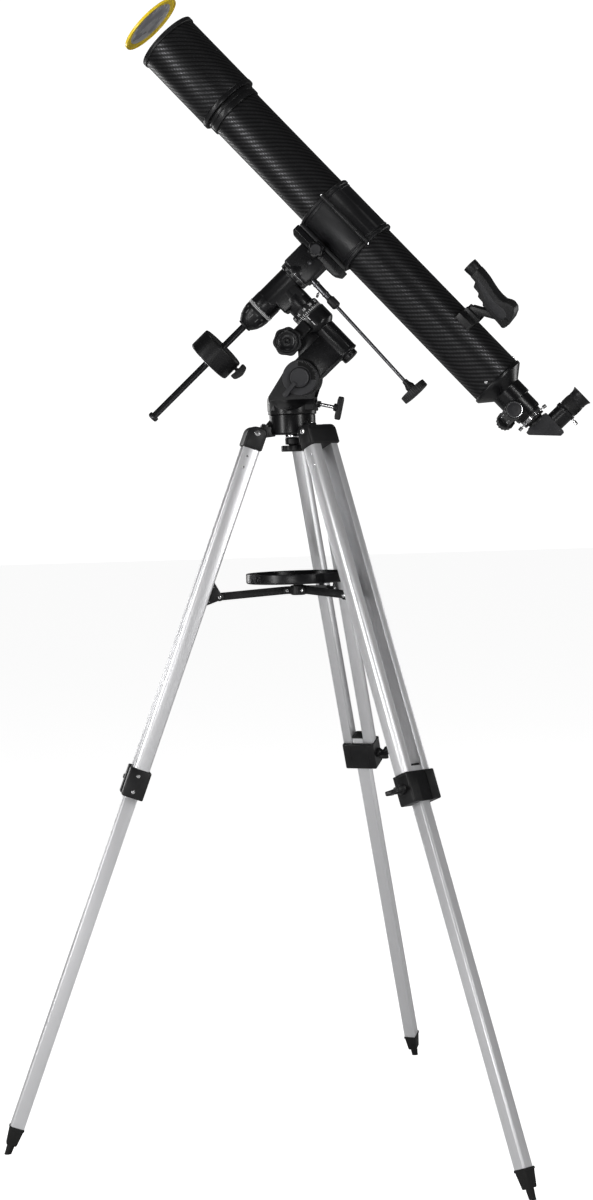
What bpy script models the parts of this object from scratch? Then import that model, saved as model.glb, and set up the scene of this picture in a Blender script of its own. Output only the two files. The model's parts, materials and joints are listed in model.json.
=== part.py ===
"""Refractor telescope on a German equatorial mount and a three-legged stand.

The stand rests on z = 0. The polar axis lies in the XZ plane and rises towards -X.
Lengths are in metres and angles in degrees. Every moving piece hangs under an empty on its axis.
"""

from math import acos, atan2, cos, degrees, hypot, pi, radians, sin, sqrt

import bmesh
import bpy
from mathutils import Matrix, Vector

# Facets around a round piece
FINE = 30
MEDIUM = 22
COARSE = 14
PIN = 10

# Clearances
GAP = 0.0003
SLIDE_CLEARANCE = 0.0006

# Stand
STAND_X, STAND_Y = 0.006, -0.080
FIRST_LEG_AZIMUTH = 196.35
LEG_COUNT = 3
HIP_HEIGHT = 1.293
HIP_RADIUS = 0.0692
FOOT_RADIUS = 0.570
RAIL_GAP = 0.024
RAIL_WIDTH = 0.019
RAIL_DEPTH = 0.030
RAIL_WALL = 0.0018
YOKE_DEPTH = 0.036
YOKE_DROP = 0.030
YOKE_RISE = 0.011
CLAMP_DISTANCE = 0.6718
CLAMP_HEIGHT = 0.054
CLAMP_DEPTH = 0.040
LOWER_LEG_DEPTH = 0.026
PLUG_RISE = 0.014
BOOT_LENGTH = 0.033
NUB_LENGTH = 0.018
NUB_RADIUS = 0.006
KNOB_STEM_RADIUS = 0.0035

# Spreader and tray
BRACKET_RADIUS = 0.1475
BRACKET_HEIGHT = HIP_HEIGHT - 0.295
HUB_HEIGHT = BRACKET_HEIGHT + 0.007
HUB_PIVOT_RADIUS = 0.022
HUB_RADIUS = 0.0145
ARM_DEPTH = 0.014
ARM_THICKNESS = 0.010
TRAY_RADIUS = 0.095
TRAY_FLOOR = 0.003
TRAY_HEIGHT = 0.018
TRAY_ABOVE_HUB = 0.014

# Tripod head and azimuth base
HEAD_RADIUS = 0.042
HEAD_BOTTOM = HIP_HEIGHT - 0.004
HEAD_TOP = HEAD_BOTTOM + 0.036
BASE_RADIUS = 0.044
BOLT_RADIUS = 0.006
PIVOT_X = 0.0213
PIVOT_RISE = 0.0651
CHEEK_RADIUS = 0.033
LUG_HALF_WIDTH = 0.020
CHEEK_THICKNESS = 0.0135
LUG_RADIUS = 0.034
PIVOT_PIN_RADIUS = 0.006

# Polar and declination axes
LATITUDE = 47.8
PIVOT_TO_DEC = 0.1437
PIVOT_TO_POLAR = 0.0896
POLAR_DRUM_RADIUS = 0.030
POLAR_BODY_RADIUS = 0.0215
POLAR_SHAFT_RADIUS = 0.0087
POLAR_NECK_RADIUS = 0.022
CIRCLE_RADIUS = 0.028
DEC_BODY_RADIUS = 0.025
DEC_SHAFT_RADIUS = 0.0097
DEC_TOP = 0.0307
DEC_BOTTOM = -0.0537
DEC_CIRCLE_HEIGHT = 0.008
CONE_HEIGHT = 0.0385
WEIGHT_SHAFT_RADIUS = 0.0062
WEIGHT_SHAFT_END = -0.333
WEIGHT_RADIUS = 0.0435
WEIGHT_TOP = -0.153
WEIGHT_HEIGHT = 0.041
SADDLE_BOTTOM = 0.0785
SADDLE_TOP = 0.0995

# Optical tube
TUBE_RADIUS = 0.050
CRADLE_BASE_HEIGHT = 0.0095
TUBE_ABOVE_DEC = SADDLE_TOP + CRADLE_BASE_HEIGHT + TUBE_RADIUS
TUBE_WALL = 0.0015
TUBE_FRONT = 0.284
TUBE_REAR = -0.393
CRADLE_WALL = 0.0042
CRADLE_FRONT = 0.058
CRADLE_REAR = -0.060
HINGE_ABOVE_AXIS = 0.007
HINGE_PIN_RADIUS = 0.002
KNUCKLE_RADIUS = 0.0042
CELL_LENGTH = 0.020
LENS_RADIUS = TUBE_RADIUS - 0.0045
LENS_THICKNESS = 0.011
SHIELD_RADIUS = TUBE_RADIUS + 0.0075
SHIELD_WALL = 0.0018
SHIELD_LENGTH = 0.166
LIP_RADIUS = SHIELD_RADIUS + 0.002
FILTER_DISTANCE = 0.0385
FILTER_SKIRT = 0.008
FILM_RADIUS = TUBE_RADIUS - 0.0015

# Focuser, diagonal and eyepiece
CONE_LENGTH = 0.018
COLLAR_RADIUS = 0.0295
COLLAR_LENGTH = 0.028
FOCUSER_RADIUS = 0.026
FOCUSER_LENGTH = 0.032
FOCUSER_TILT = 18.6
PINION_DROP = 0.0285
PINION_BACK = 0.056
PINION_RADIUS = 0.003
FOCUS_KNOB_RADIUS = 0.017
DRAWTUBE_RADIUS = 0.0205
DRAWTUBE_WALL = 0.0025
DRAWTUBE_INSIDE = 0.150
HOLDER_LENGTH = 0.014
BARREL_RADIUS = 0.0155
DIAGONAL_SIDE = 0.047
SOCKET_RADIUS = 0.0178
SOCKET_TOP = 0.054
EYEPIECE_LENGTH = 0.038

# Finder
FINDER_TURN = 28.0
FINDER_FRONT = -0.216
FINDER_LENGTH = 0.122
FINDER_WIDTH = 0.026

BLACK = (0.012, 0.012, 0.014)
SATIN_BLACK = (0.02, 0.02, 0.022)
ALUMINIUM = (0.62, 0.62, 0.64)
CHROME = (0.75, 0.75, 0.77)


# --- Scene helpers ---------------------------------------------------------

def clear_scene():
    for obj in list(bpy.data.objects):
        bpy.data.objects.remove(obj)


def new_collection(name):
    collection = bpy.data.collections.new(name)
    bpy.context.scene.collection.children.link(collection)
    return collection


def frame(name, parent=None, location=(0, 0, 0), x_axis=(1, 0, 0), z_axis=(0, 0, 1)):
    """An empty at location, with its X and Z along the axes given in the parent's frame."""
    empty = bpy.data.objects.new(name, None)
    PARTS.objects.link(empty)
    empty.parent = parent
    z = Vector(z_axis).normalized()
    x = Vector(x_axis).normalized()
    turn = Matrix((x, z.cross(x), z)).transposed().to_4x4()
    empty.matrix_basis = Matrix.Translation(location) @ turn
    return empty


def add_object(name, mesh, parent, cutter=False):
    obj = bpy.data.objects.new(name, mesh)
    obj.parent = parent
    (TOOLS if cutter else PARTS).objects.link(obj)
    if cutter:
        obj.hide_render = True
        obj.display_type = "WIRE"
    return obj


def paint(obj, color, roughness=0.45, metallic=0.0):
    """Gives the object its own Principled material."""
    material = bpy.data.materials.new(obj.name)
    material.use_nodes = True
    shader = material.node_tree.nodes["Principled BSDF"]
    shader.inputs["Base Color"].default_value = (*color, 1)
    shader.inputs["Roughness"].default_value = roughness
    shader.inputs["Metallic"].default_value = metallic
    obj.data.materials.append(material)
    return obj


def mesh_of(name, bm):
    mesh = bpy.data.meshes.new(name)
    bm.to_mesh(mesh)
    bm.free()
    return mesh


def smooth(obj):
    obj.data.shade_smooth()
    obj.data.set_sharp_from_angle(angle=radians(35))
    return obj


def box(name, parent, low, high, bevel=0.0, cutter=False):
    """A block between two corners, with rounded edges if bevel is set."""
    low, high = Vector(low), Vector(high)
    bm = bmesh.new()
    bmesh.ops.create_cube(bm, size=1)
    bmesh.ops.scale(bm, vec=high - low, verts=bm.verts)
    bmesh.ops.translate(bm, vec=(low + high) / 2, verts=bm.verts)
    obj = add_object(name, mesh_of(name, bm), parent, cutter)
    if bevel:
        modifier = obj.modifiers.new("round", "BEVEL")
        modifier.width = bevel
        modifier.segments = 1
    return obj


def rod(name, parent, start, end, radius, end_radius=None, sides=MEDIUM, cutter=False):
    """A cylinder or cone between two points."""
    start, end = Vector(start), Vector(end)
    bm = bmesh.new()
    bmesh.ops.create_cone(
        bm, cap_ends=True, segments=sides, radius1=radius,
        radius2=radius if end_radius is None else end_radius, depth=(end - start).length)
    turn = (end - start).to_track_quat("Z", "Y").to_matrix()
    bmesh.ops.rotate(bm, matrix=turn, verts=bm.verts)
    bmesh.ops.translate(bm, vec=(start + end) / 2, verts=bm.verts)
    return smooth(add_object(name, mesh_of(name, bm), parent, cutter))


def turned(name, parent, profile, steps=MEDIUM, ring=False, cutter=False):
    """A shape turned about the parent's Z. The profile's (radius, height) points run
    from the top down the outer side; a ring's profile closes on itself."""
    mesh = bpy.data.meshes.new(name)
    count = len(profile)
    edges = [(i, i + 1) for i in range(count - 1)]
    if ring:
        edges.append((count - 1, 0))
    mesh.from_pydata([(radius, 0, height) for radius, height in profile], edges, [])
    obj = add_object(name, mesh, parent, cutter)
    screw = obj.modifiers.new("turn", "SCREW")
    screw.steps = screw.render_steps = steps
    screw.use_merge_vertices = True
    screw.merge_threshold = 0.00001
    return obj


def tube_profile(inner, outer, bottom, top):
    """A plain ring's profile, for turned."""
    return [(inner, top), (outer, top), (outer, bottom), (inner, bottom)]


def plate(name, parent, outline, low, high, holes=(), plane="XZ", cutter=False):
    """A flat outline extruded from low to high across its plane (XZ along Y, or XY along Z)."""
    curve = bpy.data.curves.new(name, "CURVE")
    curve.dimensions = "2D"
    curve.fill_mode = "BOTH"
    curve.extrude = (high - low) / 2
    for points in (outline, *holes):
        spline = curve.splines.new("POLY")
        spline.points.add(len(points) - 1)
        for point, (u, v) in zip(spline.points, points):
            point.co = (u, v, 0, 1)
        spline.use_cyclic_u = True
    guide = bpy.data.objects.new(name, curve)
    TOOLS.objects.link(guide)
    bpy.context.view_layer.update()
    graph = bpy.context.evaluated_depsgraph_get()
    mesh = bpy.data.meshes.new_from_object(guide.evaluated_get(graph))
    bpy.data.objects.remove(guide)
    bm = bmesh.new()
    bm.from_mesh(mesh)
    bmesh.ops.remove_doubles(bm, verts=bm.verts, dist=0.000001)
    middle = (low + high) / 2
    if plane == "XZ":
        bmesh.ops.rotate(bm, matrix=Matrix.Rotation(pi / 2, 3, "X"), verts=bm.verts)
        bmesh.ops.translate(bm, vec=(0, middle, 0), verts=bm.verts)
    else:
        bmesh.ops.translate(bm, vec=(0, 0, middle), verts=bm.verts)
    bmesh.ops.recalc_face_normals(bm, faces=bm.faces)
    bm.to_mesh(mesh)
    bm.free()
    return smooth(add_object(name, mesh, parent, cutter))


def combine(target, operation, tools):
    for tool in tools:
        modifier = target.modifiers.new(operation.lower(), "BOOLEAN")
        modifier.operation = operation
        modifier.object = tool
        tool.hide_render = True
        tool.display_type = "WIRE"
        for owner in list(tool.users_collection):
            owner.objects.unlink(tool)
        TOOLS.objects.link(tool)
    return target


def join(target, *tools):
    return combine(target, "UNION", tools)


def cut(target, *tools):
    return combine(target, "DIFFERENCE", tools)


def keep(target, *tools):
    return combine(target, "INTERSECT", tools)


def arc(centre, radius, start, end, count):
    """Points on an arc from one angle to another, in degrees."""
    points = []
    for i in range(count + 1):
        angle = radians(start + (end - start) * i / count)
        points.append((centre[0] + radius * cos(angle), centre[1] + radius * sin(angle)))
    return points


def lobed(radius, depth, lobes, per_lobe=4):
    """Outline of a hand knob with rounded lobes."""
    count = lobes * per_lobe
    points = []
    for i in range(count):
        angle = 2 * pi * i / count
        reach = radius - depth * (1 - cos(lobes * angle)) / 2
        points.append((reach * cos(angle), reach * sin(angle)))
    return points


# --- Stand -----------------------------------------------------------------

LEG_TILT = degrees(atan2(FOOT_RADIUS - HIP_RADIUS, HIP_HEIGHT))
LEG_LENGTH = hypot(FOOT_RADIUS - HIP_RADIUS, HIP_HEIGHT)
RAIL_OUTSIDE = RAIL_GAP / 2 + RAIL_WIDTH
LUG_HALF = RAIL_GAP / 2
LUG_REACH = 0.011
HIP_PIN_RADIUS = 0.003


def leg_azimuth(index):
    return FIRST_LEG_AZIMUTH + index * 360 / LEG_COUNT


def leg_frame(index, stand):
    """Origin at the hip: Z up along the leg, X outwards, Y around the stand."""
    azimuth, tilt = radians(leg_azimuth(index)), radians(LEG_TILT)
    out = Vector((cos(azimuth), sin(azimuth), 0))
    up = Vector((0, 0, 1))
    return frame(
        f"leg_{index + 1}_axis", stand, out * HIP_RADIUS + up * HIP_HEIGHT,
        x_axis=out * cos(tilt) + up * sin(tilt), z_axis=up * cos(tilt) - out * sin(tilt))


def make_yoke(tag, leg):
    """Top casting of a leg: two cheeks and a pin that hold the head's lug."""
    half = RAIL_OUTSIDE + 0.001
    yoke = box(f"leg_yoke_{tag}", leg, (-YOKE_DEPTH / 2, -half, -YOKE_DROP),
               (YOKE_DEPTH / 2, half, YOKE_RISE), bevel=0.004)
    slot = LUG_HALF + SLIDE_CLEARANCE
    cut(yoke, box("yoke_slot", leg, (-YOKE_DEPTH, -slot, -LUG_REACH - 0.004),
                  (YOKE_DEPTH, slot, YOKE_RISE + 0.01), cutter=True))
    join(yoke, rod("hip_pin", leg, (0, -half - 0.003, 0), (0, half + 0.003, 0),
                   HIP_PIN_RADIUS, sides=PIN))
    for side in (-1, 1):
        join(yoke, rod("hip_bolt_head", leg, (0, side * (half - 0.002), 0),
                       (0, side * (half + 0.0035), 0), 0.006, sides=PIN))
    paint(yoke, BLACK, 0.4)


def rail_outline(y_near, y_far):
    """Hollow bar section in the leg's XY plane, rounder on the outer side."""
    half = RAIL_DEPTH / 2
    turn = 0.004

    def corners(inset):
        x0, x1 = -half + inset, half - inset
        y0, y1 = y_near + inset, y_far - inset
        return [(x0, y0), (x1 - turn, y0), (x1, y0 + turn),
                (x1, y1 - turn), (x1 - turn, y1), (x0, y1)]

    return corners(0), corners(RAIL_WALL)


def bracket_point():
    """The spreader bracket's pivot in the leg's frame, as (x, z)."""
    out, up = BRACKET_RADIUS - HIP_RADIUS, BRACKET_HEIGHT - HIP_HEIGHT
    tilt = radians(LEG_TILT)
    return out * cos(tilt) + up * sin(tilt), up * cos(tilt) - out * sin(tilt)


def make_rail(tag, leg, side):
    """One upper bar, with its cheek of the spreader bracket."""
    inner, outer = sorted((side * RAIL_GAP / 2, side * RAIL_OUTSIDE))
    section, bore = rail_outline(inner, outer)
    name = f"leg_rail_{tag}_{'left' if side > 0 else 'right'}"
    top, bottom = -YOKE_DROP - GAP, -CLAMP_DISTANCE + CLAMP_HEIGHT / 2 + GAP
    rail = plate(name, leg, section, bottom, top, holes=[bore], plane="XY")
    x, z = bracket_point()
    low, high = sorted((side * (LUG_HALF + 0.0004), side * (LUG_HALF + 0.0034)))
    foot = -RAIL_DEPTH / 2 + 0.0009
    cheek = [(foot, z + 0.024), *arc((x, z), 0.0075, 90, 270, 4), (foot, z - 0.024)]
    join(rail, plate("bracket_cheek", leg, cheek, low, high))
    paint(rail, ALUMINIUM, 0.35, 0.9)


def make_clamp(tag, leg):
    """Clamp block at the foot of the rails; the lower leg slides through it."""
    half = RAIL_OUTSIDE + 0.001
    middle = -CLAMP_DISTANCE
    clamp = box(f"leg_clamp_{tag}", leg, (-CLAMP_DEPTH / 2, -half, middle - CLAMP_HEIGHT / 2),
                (CLAMP_DEPTH / 2, half, middle + CLAMP_HEIGHT / 2), bevel=0.003)
    hole_x, hole_y = LOWER_LEG_DEPTH / 2 + SLIDE_CLEARANCE, RAIL_GAP / 2
    cut(clamp, box("clamp_hole", leg, (-hole_x, -hole_y, middle - CLAMP_HEIGHT),
                   (hole_x, hole_y, middle + CLAMP_HEIGHT), cutter=True))
    cut(clamp, rod("clamp_screw_hole", leg, (0, -half - 0.01, middle), (0, -0.002, middle),
                   KNOB_STEM_RADIUS + GAP, sides=PIN, cutter=True))
    paint(clamp, BLACK, 0.5)
    knob_axis = frame(f"clamp_knob_{tag}_axis", leg, (0, -half, middle),
                      x_axis=(1, 0, 0), z_axis=(0, -1, 0))
    stem = rod(f"clamp_wing_knob_{tag}", knob_axis, (0, 0, -half + RAIL_GAP / 2 + 0.001),
               (0, 0, 0.022), KNOB_STEM_RADIUS, sides=PIN)
    join(stem, rod("knob_boss", knob_axis, (0, 0, GAP), (0, 0, 0.018), 0.009, 0.007, sides=PIN))
    wing = [(-0.020, 0.012), (-0.016, 0.006), (0.016, 0.006), (0.020, 0.012),
            (0.018, 0.028), (0.009, 0.024), (-0.009, 0.024), (-0.018, 0.028)]
    join(stem, plate("knob_wing", knob_axis, wing, -0.004, 0.004))
    paint(stem, BLACK, 0.5)


def make_lower_leg(tag, leg):
    """Sliding bar with its dark top plug, and the foot under it."""
    half_x, half_y = LOWER_LEG_DEPTH / 2, RAIL_GAP / 2 - SLIDE_CLEARANCE
    top = -CLAMP_DISTANCE + CLAMP_HEIGHT / 2 + PLUG_RISE
    bottom = -LEG_LENGTH + NUB_LENGTH + BOOT_LENGTH

    def section(inset):
        x, y = half_x - inset, half_y - inset
        turn = 0.003
        return [(-x, -y), (x - turn, -y), (x, -y + turn), (x, y - turn), (x - turn, y), (-x, y)]

    bar = plate(f"lower_leg_{tag}", leg, section(0), bottom, top,
                holes=[section(RAIL_WALL)], plane="XY")
    paint(bar, ALUMINIUM, 0.35, 0.9)

    foot = box(f"foot_tip_{tag}", leg, (-half_x, -half_y, bottom - BOOT_LENGTH),
               (half_x, half_y, bottom - GAP))
    taper_foot(foot, 0.72)
    insert = RAIL_WALL + SLIDE_CLEARANCE + 0.003
    join(foot, box("foot_insert", leg, (-half_x + insert, -half_y + insert, bottom - 0.004),
                   (half_x - insert, half_y - insert, bottom + 0.020)))
    join(foot, rod("foot_nub", leg, (0, 0, -LEG_LENGTH - NUB_RADIUS), (0, 0, bottom - BOOT_LENGTH + 0.006),
                   NUB_RADIUS, sides=COARSE))
    cut(foot, floor_cutter())
    paint(foot, SATIN_BLACK, 0.7)


def taper_foot(foot, share):
    """Narrows the lower end of the foot."""
    low = min(vertex.co.z for vertex in foot.data.vertices)
    for vertex in foot.data.vertices:
        if vertex.co.z < low + 0.0001:
            vertex.co.x *= share
            vertex.co.y *= share


def floor_cutter():
    """A block under the floor plane that gives each foot its flat."""
    reach = 2 * FOOT_RADIUS
    return box("floor_block", None, (-reach, -reach, -0.05), (reach, reach, 0), cutter=True)


def make_leg(index, stand):
    leg = leg_frame(index, stand)
    tag = str(index + 1)
    make_yoke(tag, leg)
    for side in (-1, 1):
        make_rail(tag, leg, side)
    make_clamp(tag, leg)
    make_lower_leg(tag, leg)


# --- Spreader and tray -----------------------------------------------------

HUB_PIN_RADIUS = 0.0023
HUB_LUG_REACH = 0.0065


def make_spreader(stand):
    hub_axis = frame("spreader_hub_axis", stand, (0, 0, HUB_HEIGHT))
    hub = turned("spreader_hub", hub_axis, [
        (0, TRAY_ABOVE_HUB - GAP), (0.009, TRAY_ABOVE_HUB - GAP), (0.009, 0.009),
        (HUB_RADIUS, 0.008), (HUB_RADIUS, -0.008), (0, -0.008)], steps=COARSE)
    lug_near = ARM_THICKNESS / 2 + SLIDE_CLEARANCE
    for index in range(LEG_COUNT):
        azimuth = radians(leg_azimuth(index))
        out = Vector((cos(azimuth), sin(azimuth), 0))
        arm_axis = frame(f"arm_{index + 1}_axis", hub_axis, out * HUB_PIVOT_RADIUS, x_axis=out)
        for side in (-1, 1):
            low, high = sorted((side * lug_near, side * (lug_near + 0.0035)))
            join(hub, box("hub_lug", arm_axis, (-HUB_PIVOT_RADIUS + 0.011, low, -0.0068),
                          (HUB_LUG_REACH, high, 0.0068)))
        join(hub, rod("hub_pin", arm_axis, (0, -lug_near - 0.002, 0), (0, lug_near + 0.002, 0),
                      HUB_PIN_RADIUS, sides=PIN))
        make_arm(str(index + 1), arm_axis)
    paint(hub, BLACK, 0.5)

    tray = turned("accessory_tray", hub_axis, [
        (0, TRAY_ABOVE_HUB + TRAY_FLOOR),
        (TRAY_RADIUS - 0.0025, TRAY_ABOVE_HUB + TRAY_FLOOR),
        (TRAY_RADIUS - 0.0025, TRAY_ABOVE_HUB + TRAY_HEIGHT),
        (TRAY_RADIUS, TRAY_ABOVE_HUB + TRAY_HEIGHT),
        (TRAY_RADIUS, TRAY_ABOVE_HUB), (0, TRAY_ABOVE_HUB)], steps=FINE)
    paint(tray, SATIN_BLACK, 0.5)


def make_arm(tag, arm_axis):
    """Bar from the hub to a bracket. Its outer barrel stays free between the cheeks."""
    out = BRACKET_RADIUS - HUB_PIVOT_RADIUS
    drop = HUB_HEIGHT - BRACKET_HEIGHT
    slope = degrees(atan2(-drop, out))
    outline = [*arc((0, 0), ARM_DEPTH / 2, 90 + slope, 270 + slope, 5),
               *arc((out, -drop), ARM_DEPTH / 2, -90 + slope, 90 + slope, 5)]
    arm = plate(f"spreader_arm_{tag}", arm_axis, outline, -ARM_THICKNESS / 2, ARM_THICKNESS / 2)
    cut(arm, rod("arm_hole", arm_axis, (0, -0.02, 0), (0, 0.02, 0), HUB_PIN_RADIUS + GAP,
                 sides=PIN, cutter=True))
    join(arm, rod("arm_barrel", arm_axis, (out, -LUG_HALF + 0.0003, -drop),
                  (out, LUG_HALF - 0.0003, -drop), 0.0055, sides=PIN))
    paint(arm, BLACK, 0.5)


# --- Tripod head and azimuth base -------------------------------------------

def make_head(stand):
    head = turned("tripod_head", stand, tube_profile(
        BOLT_RADIUS + GAP, HEAD_RADIUS, HEAD_BOTTOM, HEAD_TOP), ring=True)
    for index in range(LEG_COUNT):
        azimuth = radians(leg_azimuth(index))
        out = Vector((cos(azimuth), sin(azimuth), 0))
        lug_axis = frame(f"lug_{index + 1}_axis", stand, out * HIP_RADIUS + Vector((0, 0, HIP_HEIGHT)),
                         x_axis=out)
        inward = HEAD_RADIUS - 0.008 - HIP_RADIUS
        outline = [(inward, -LUG_REACH + 0.004), *arc((0, 0), LUG_REACH, -75, 90, 6),
                   (inward, LUG_REACH)]
        join(head, plate("head_lug", lug_axis, outline, -LUG_HALF, LUG_HALF))
        cut(head, rod("lug_hole", lug_axis, (0, -0.03, 0), (0, 0.03, 0), HIP_PIN_RADIUS + GAP,
                      sides=PIN, cutter=True))
    paint(head, BLACK, 0.3)

    bolt_axis = frame("head_bolt_axis", stand, (0, 0, HEAD_BOTTOM))
    bolt = turned("head_bolt_knob", bolt_axis, [
        (0, 0.045), (BOLT_RADIUS, 0.045), (BOLT_RADIUS, -GAP), (0.0145, -GAP), (0.0145, -0.018),
        (0.008, -0.019), (0.008, -0.024), (0, -0.024)], steps=COARSE)
    join(bolt, plate("bolt_knob_rim", bolt_axis, lobed(0.0225, 0.0018, 8), -0.031, -0.020,
                     plane="XY"))
    paint(bolt, BLACK, 0.45)


SLOT_FLOOR = 0.012
SCREW_SLOPE = 13.4
SCREW_HEIGHT = 0.020
SCREW_RADIUS = 0.0033
SCREW_BAR_LENGTH = 0.043


def fork_outline():
    """Side view of the fork: slanting front edge, round top about the pivot, upright back."""
    centre = (PIVOT_X, PIVOT_RISE)
    corner = (-BASE_RADIUS, 0.027)
    back = atan2(corner[1] - centre[1], corner[0] - centre[0])
    reach = hypot(corner[0] - centre[0], corner[1] - centre[1])
    start = degrees(back + 2 * pi - acos(CHEEK_RADIUS / reach))
    return [(-BASE_RADIUS, 0.006), (BASE_RADIUS, 0.006), (BASE_RADIUS, 0.030),
            *arc(centre, CHEEK_RADIUS, -25, start, 14), corner]


def make_azimuth_base(azimuth_axis):
    half = LUG_HALF_WIDTH + GAP + CHEEK_THICKNESS
    fork = plate("azimuth_base", azimuth_axis, fork_outline(), -half, half)
    keep(fork, rod("fork_round", azimuth_axis, (0.0105, 0, -0.02), (0.0105, 0, 0.12), 0.0555,
                   sides=FINE, cutter=True))
    join(fork, rod("base_drum", azimuth_axis, (0, 0, GAP), (0, 0, 0.024), BASE_RADIUS, sides=MEDIUM))
    slot = LUG_HALF_WIDTH + GAP
    wall_top = PIVOT_RISE - LUG_RADIUS - 0.001
    cut(fork, box("fork_slot", azimuth_axis, (-0.029, -slot, wall_top), (0.08, slot, 0.12), cutter=True))
    cut(fork, box("fork_well", azimuth_axis, (-0.029, -slot, SLOT_FLOOR),
                  (BASE_RADIUS - 0.013, slot, wall_top + 0.01), cutter=True))
    cut(fork, rod("pivot_hole", azimuth_axis, (PIVOT_X, -0.06, PIVOT_RISE),
                  (PIVOT_X, 0.06, PIVOT_RISE), PIVOT_PIN_RADIUS + GAP, sides=COARSE, cutter=True))
    cut(fork, rod("bolt_hole", azimuth_axis, (0, 0, -0.01), (0, 0, SLOT_FLOOR + 0.01),
                  BOLT_RADIUS + GAP, sides=MEDIUM, cutter=True))
    screw_axis = make_altitude_screw(azimuth_axis)
    cut(fork, rod("screw_hole", screw_axis, (0, 0, -0.012), (0, 0, 0.02), SCREW_RADIUS + GAP,
                  sides=PIN, cutter=True))
    paint(fork, BLACK, 0.3)


def make_altitude_screw(azimuth_axis):
    """T-handled screw through the fork's back wall; it runs down and away from the pivot."""
    slope = radians(SCREW_SLOPE)
    away = Vector((cos(slope), 0, -sin(slope)))
    axis = frame("altitude_screw_axis", azimuth_axis, (BASE_RADIUS - 0.006, 0, SCREW_HEIGHT),
                 x_axis=(0, 1, 0), z_axis=away)
    screw = rod("altitude_adjust_screw", axis, (0, 0, -0.012), (0, 0, 0.052), SCREW_RADIUS, sides=PIN)
    join(screw, rod("screw_collar", axis, (0, 0, 0.0095), (0, 0, 0.015), 0.007, sides=PIN))
    join(screw, rod("bar_hub", axis, (0, 0, 0.040), (0, 0, 0.047), 0.007, sides=PIN))
    bar_half = SCREW_BAR_LENGTH / 2
    join(screw, box("screw_bar", axis, (-0.005, -bar_half, 0.045), (0.005, bar_half, 0.055),
                    bevel=0.002))
    paint(screw, BLACK, 0.45)
    return axis


def make_altitude_pivot(altitude_axis):
    """Latitude dial with the pivot pin and its far nut, and the lever on its face."""
    face = frame("pivot_face", altitude_axis, x_axis=(1, 0, 0), z_axis=(0, -1, 0))
    outside = LUG_HALF_WIDTH + GAP + CHEEK_THICKNESS + GAP
    dial_top = outside + 0.0065
    dial = turned("latitude_dial", face, [
        (0, dial_top), (CHEEK_RADIUS - 0.001, dial_top), (CHEEK_RADIUS - 0.001, outside),
        (PIVOT_PIN_RADIUS, outside), (PIVOT_PIN_RADIUS, -outside), (0.0125, -outside),
        (0.0125, -outside - 0.009), (0, -outside - 0.009)], steps=MEDIUM)
    cut(dial, rod("lever_pin_hole", face, (0, 0, dial_top - 0.010), (0, 0, dial_top + 0.01),
                  0.004 + GAP, sides=PIN, cutter=True))
    paint(dial, (0.05, 0.05, 0.055), 0.5)

    lever_disc = 0.0175
    lever = turned("altitude_lock_lever", face, [
        (0, dial_top + 0.0065), (lever_disc, dial_top + 0.0065), (lever_disc, dial_top + GAP),
        (0.004, dial_top + GAP), (0.004, dial_top - 0.008), (0, dial_top - 0.008)], steps=MEDIUM)
    down_left = radians(229)
    arm = frame("lever_arm", face, x_axis=(cos(down_left), sin(down_left), 0))
    outline = [(0.012, -0.0035), (0.040, -0.0048), (0.0445, -0.002), (0.0445, 0.002),
               (0.040, 0.0048), (0.012, 0.0035)]
    join(lever, plate("lever_bar", arm, outline, dial_top + 0.0008, dial_top + 0.0095, plane="XY"))
    paint(lever, (0.05, 0.05, 0.055), 0.45)


# --- Polar axis --------------------------------------------------------------

DRUM_FRONT = -0.0713
DRUM_REAR = -0.101
BODY_REAR = -0.170
WORM_X = -0.0595
WORM_Z = -0.0835
WORM_HALF = 0.032
WORM_SHAFT_RADIUS = 0.004


def make_polar_housing(polar_axis):
    """Casting around the polar shaft, with the worm block and the lug on the altitude pivot.
    The axis frame has X towards the telescope tube and Z towards the pole."""
    chamfer = 0.004
    body = turned("polar_housing", polar_axis, [
        (0, DRUM_FRONT), (POLAR_DRUM_RADIUS, DRUM_FRONT),
        (POLAR_DRUM_RADIUS, DRUM_REAR + chamfer), (POLAR_BODY_RADIUS, DRUM_REAR - chamfer),
        (POLAR_BODY_RADIUS, BODY_REAR), (0.0155, BODY_REAR - 0.002), (0.0155, BODY_REAR - 0.010),
        (0, BODY_REAR - 0.010)])
    pivot = (-PIVOT_TO_POLAR, -PIVOT_TO_DEC)
    join(body, rod("pivot_lug", polar_axis, (pivot[0], -LUG_HALF_WIDTH, pivot[1]),
                   (pivot[0], LUG_HALF_WIDTH, pivot[1]), LUG_RADIUS, sides=MEDIUM))
    join(body, box("pivot_neck", polar_axis, (pivot[0], -LUG_HALF_WIDTH + 0.001, pivot[1] - 0.0245),
                   (-0.008, LUG_HALF_WIDTH - 0.001, pivot[1] + 0.0315)))
    join(body, box("worm_block", polar_axis, (WORM_X - 0.011, -WORM_HALF, WORM_Z - 0.0115),
                   (-0.014, WORM_HALF, WORM_Z + 0.0115), bevel=0.003))
    cut(body, rod("polar_bore", polar_axis, (0, 0, -0.150), (0, 0, 0), POLAR_SHAFT_RADIUS + GAP,
                  cutter=True))
    cut(body, rod("pivot_bore", polar_axis, (pivot[0], -0.05, pivot[1]), (pivot[0], 0.05, pivot[1]),
                  PIVOT_PIN_RADIUS + GAP, sides=COARSE, cutter=True))
    cut(body, rod("worm_bore", polar_axis, (WORM_X, -0.05, WORM_Z), (WORM_X, 0.020, WORM_Z),
                  WORM_SHAFT_RADIUS + GAP, sides=PIN, cutter=True))
    paint(body, BLACK, 0.3)


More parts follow.
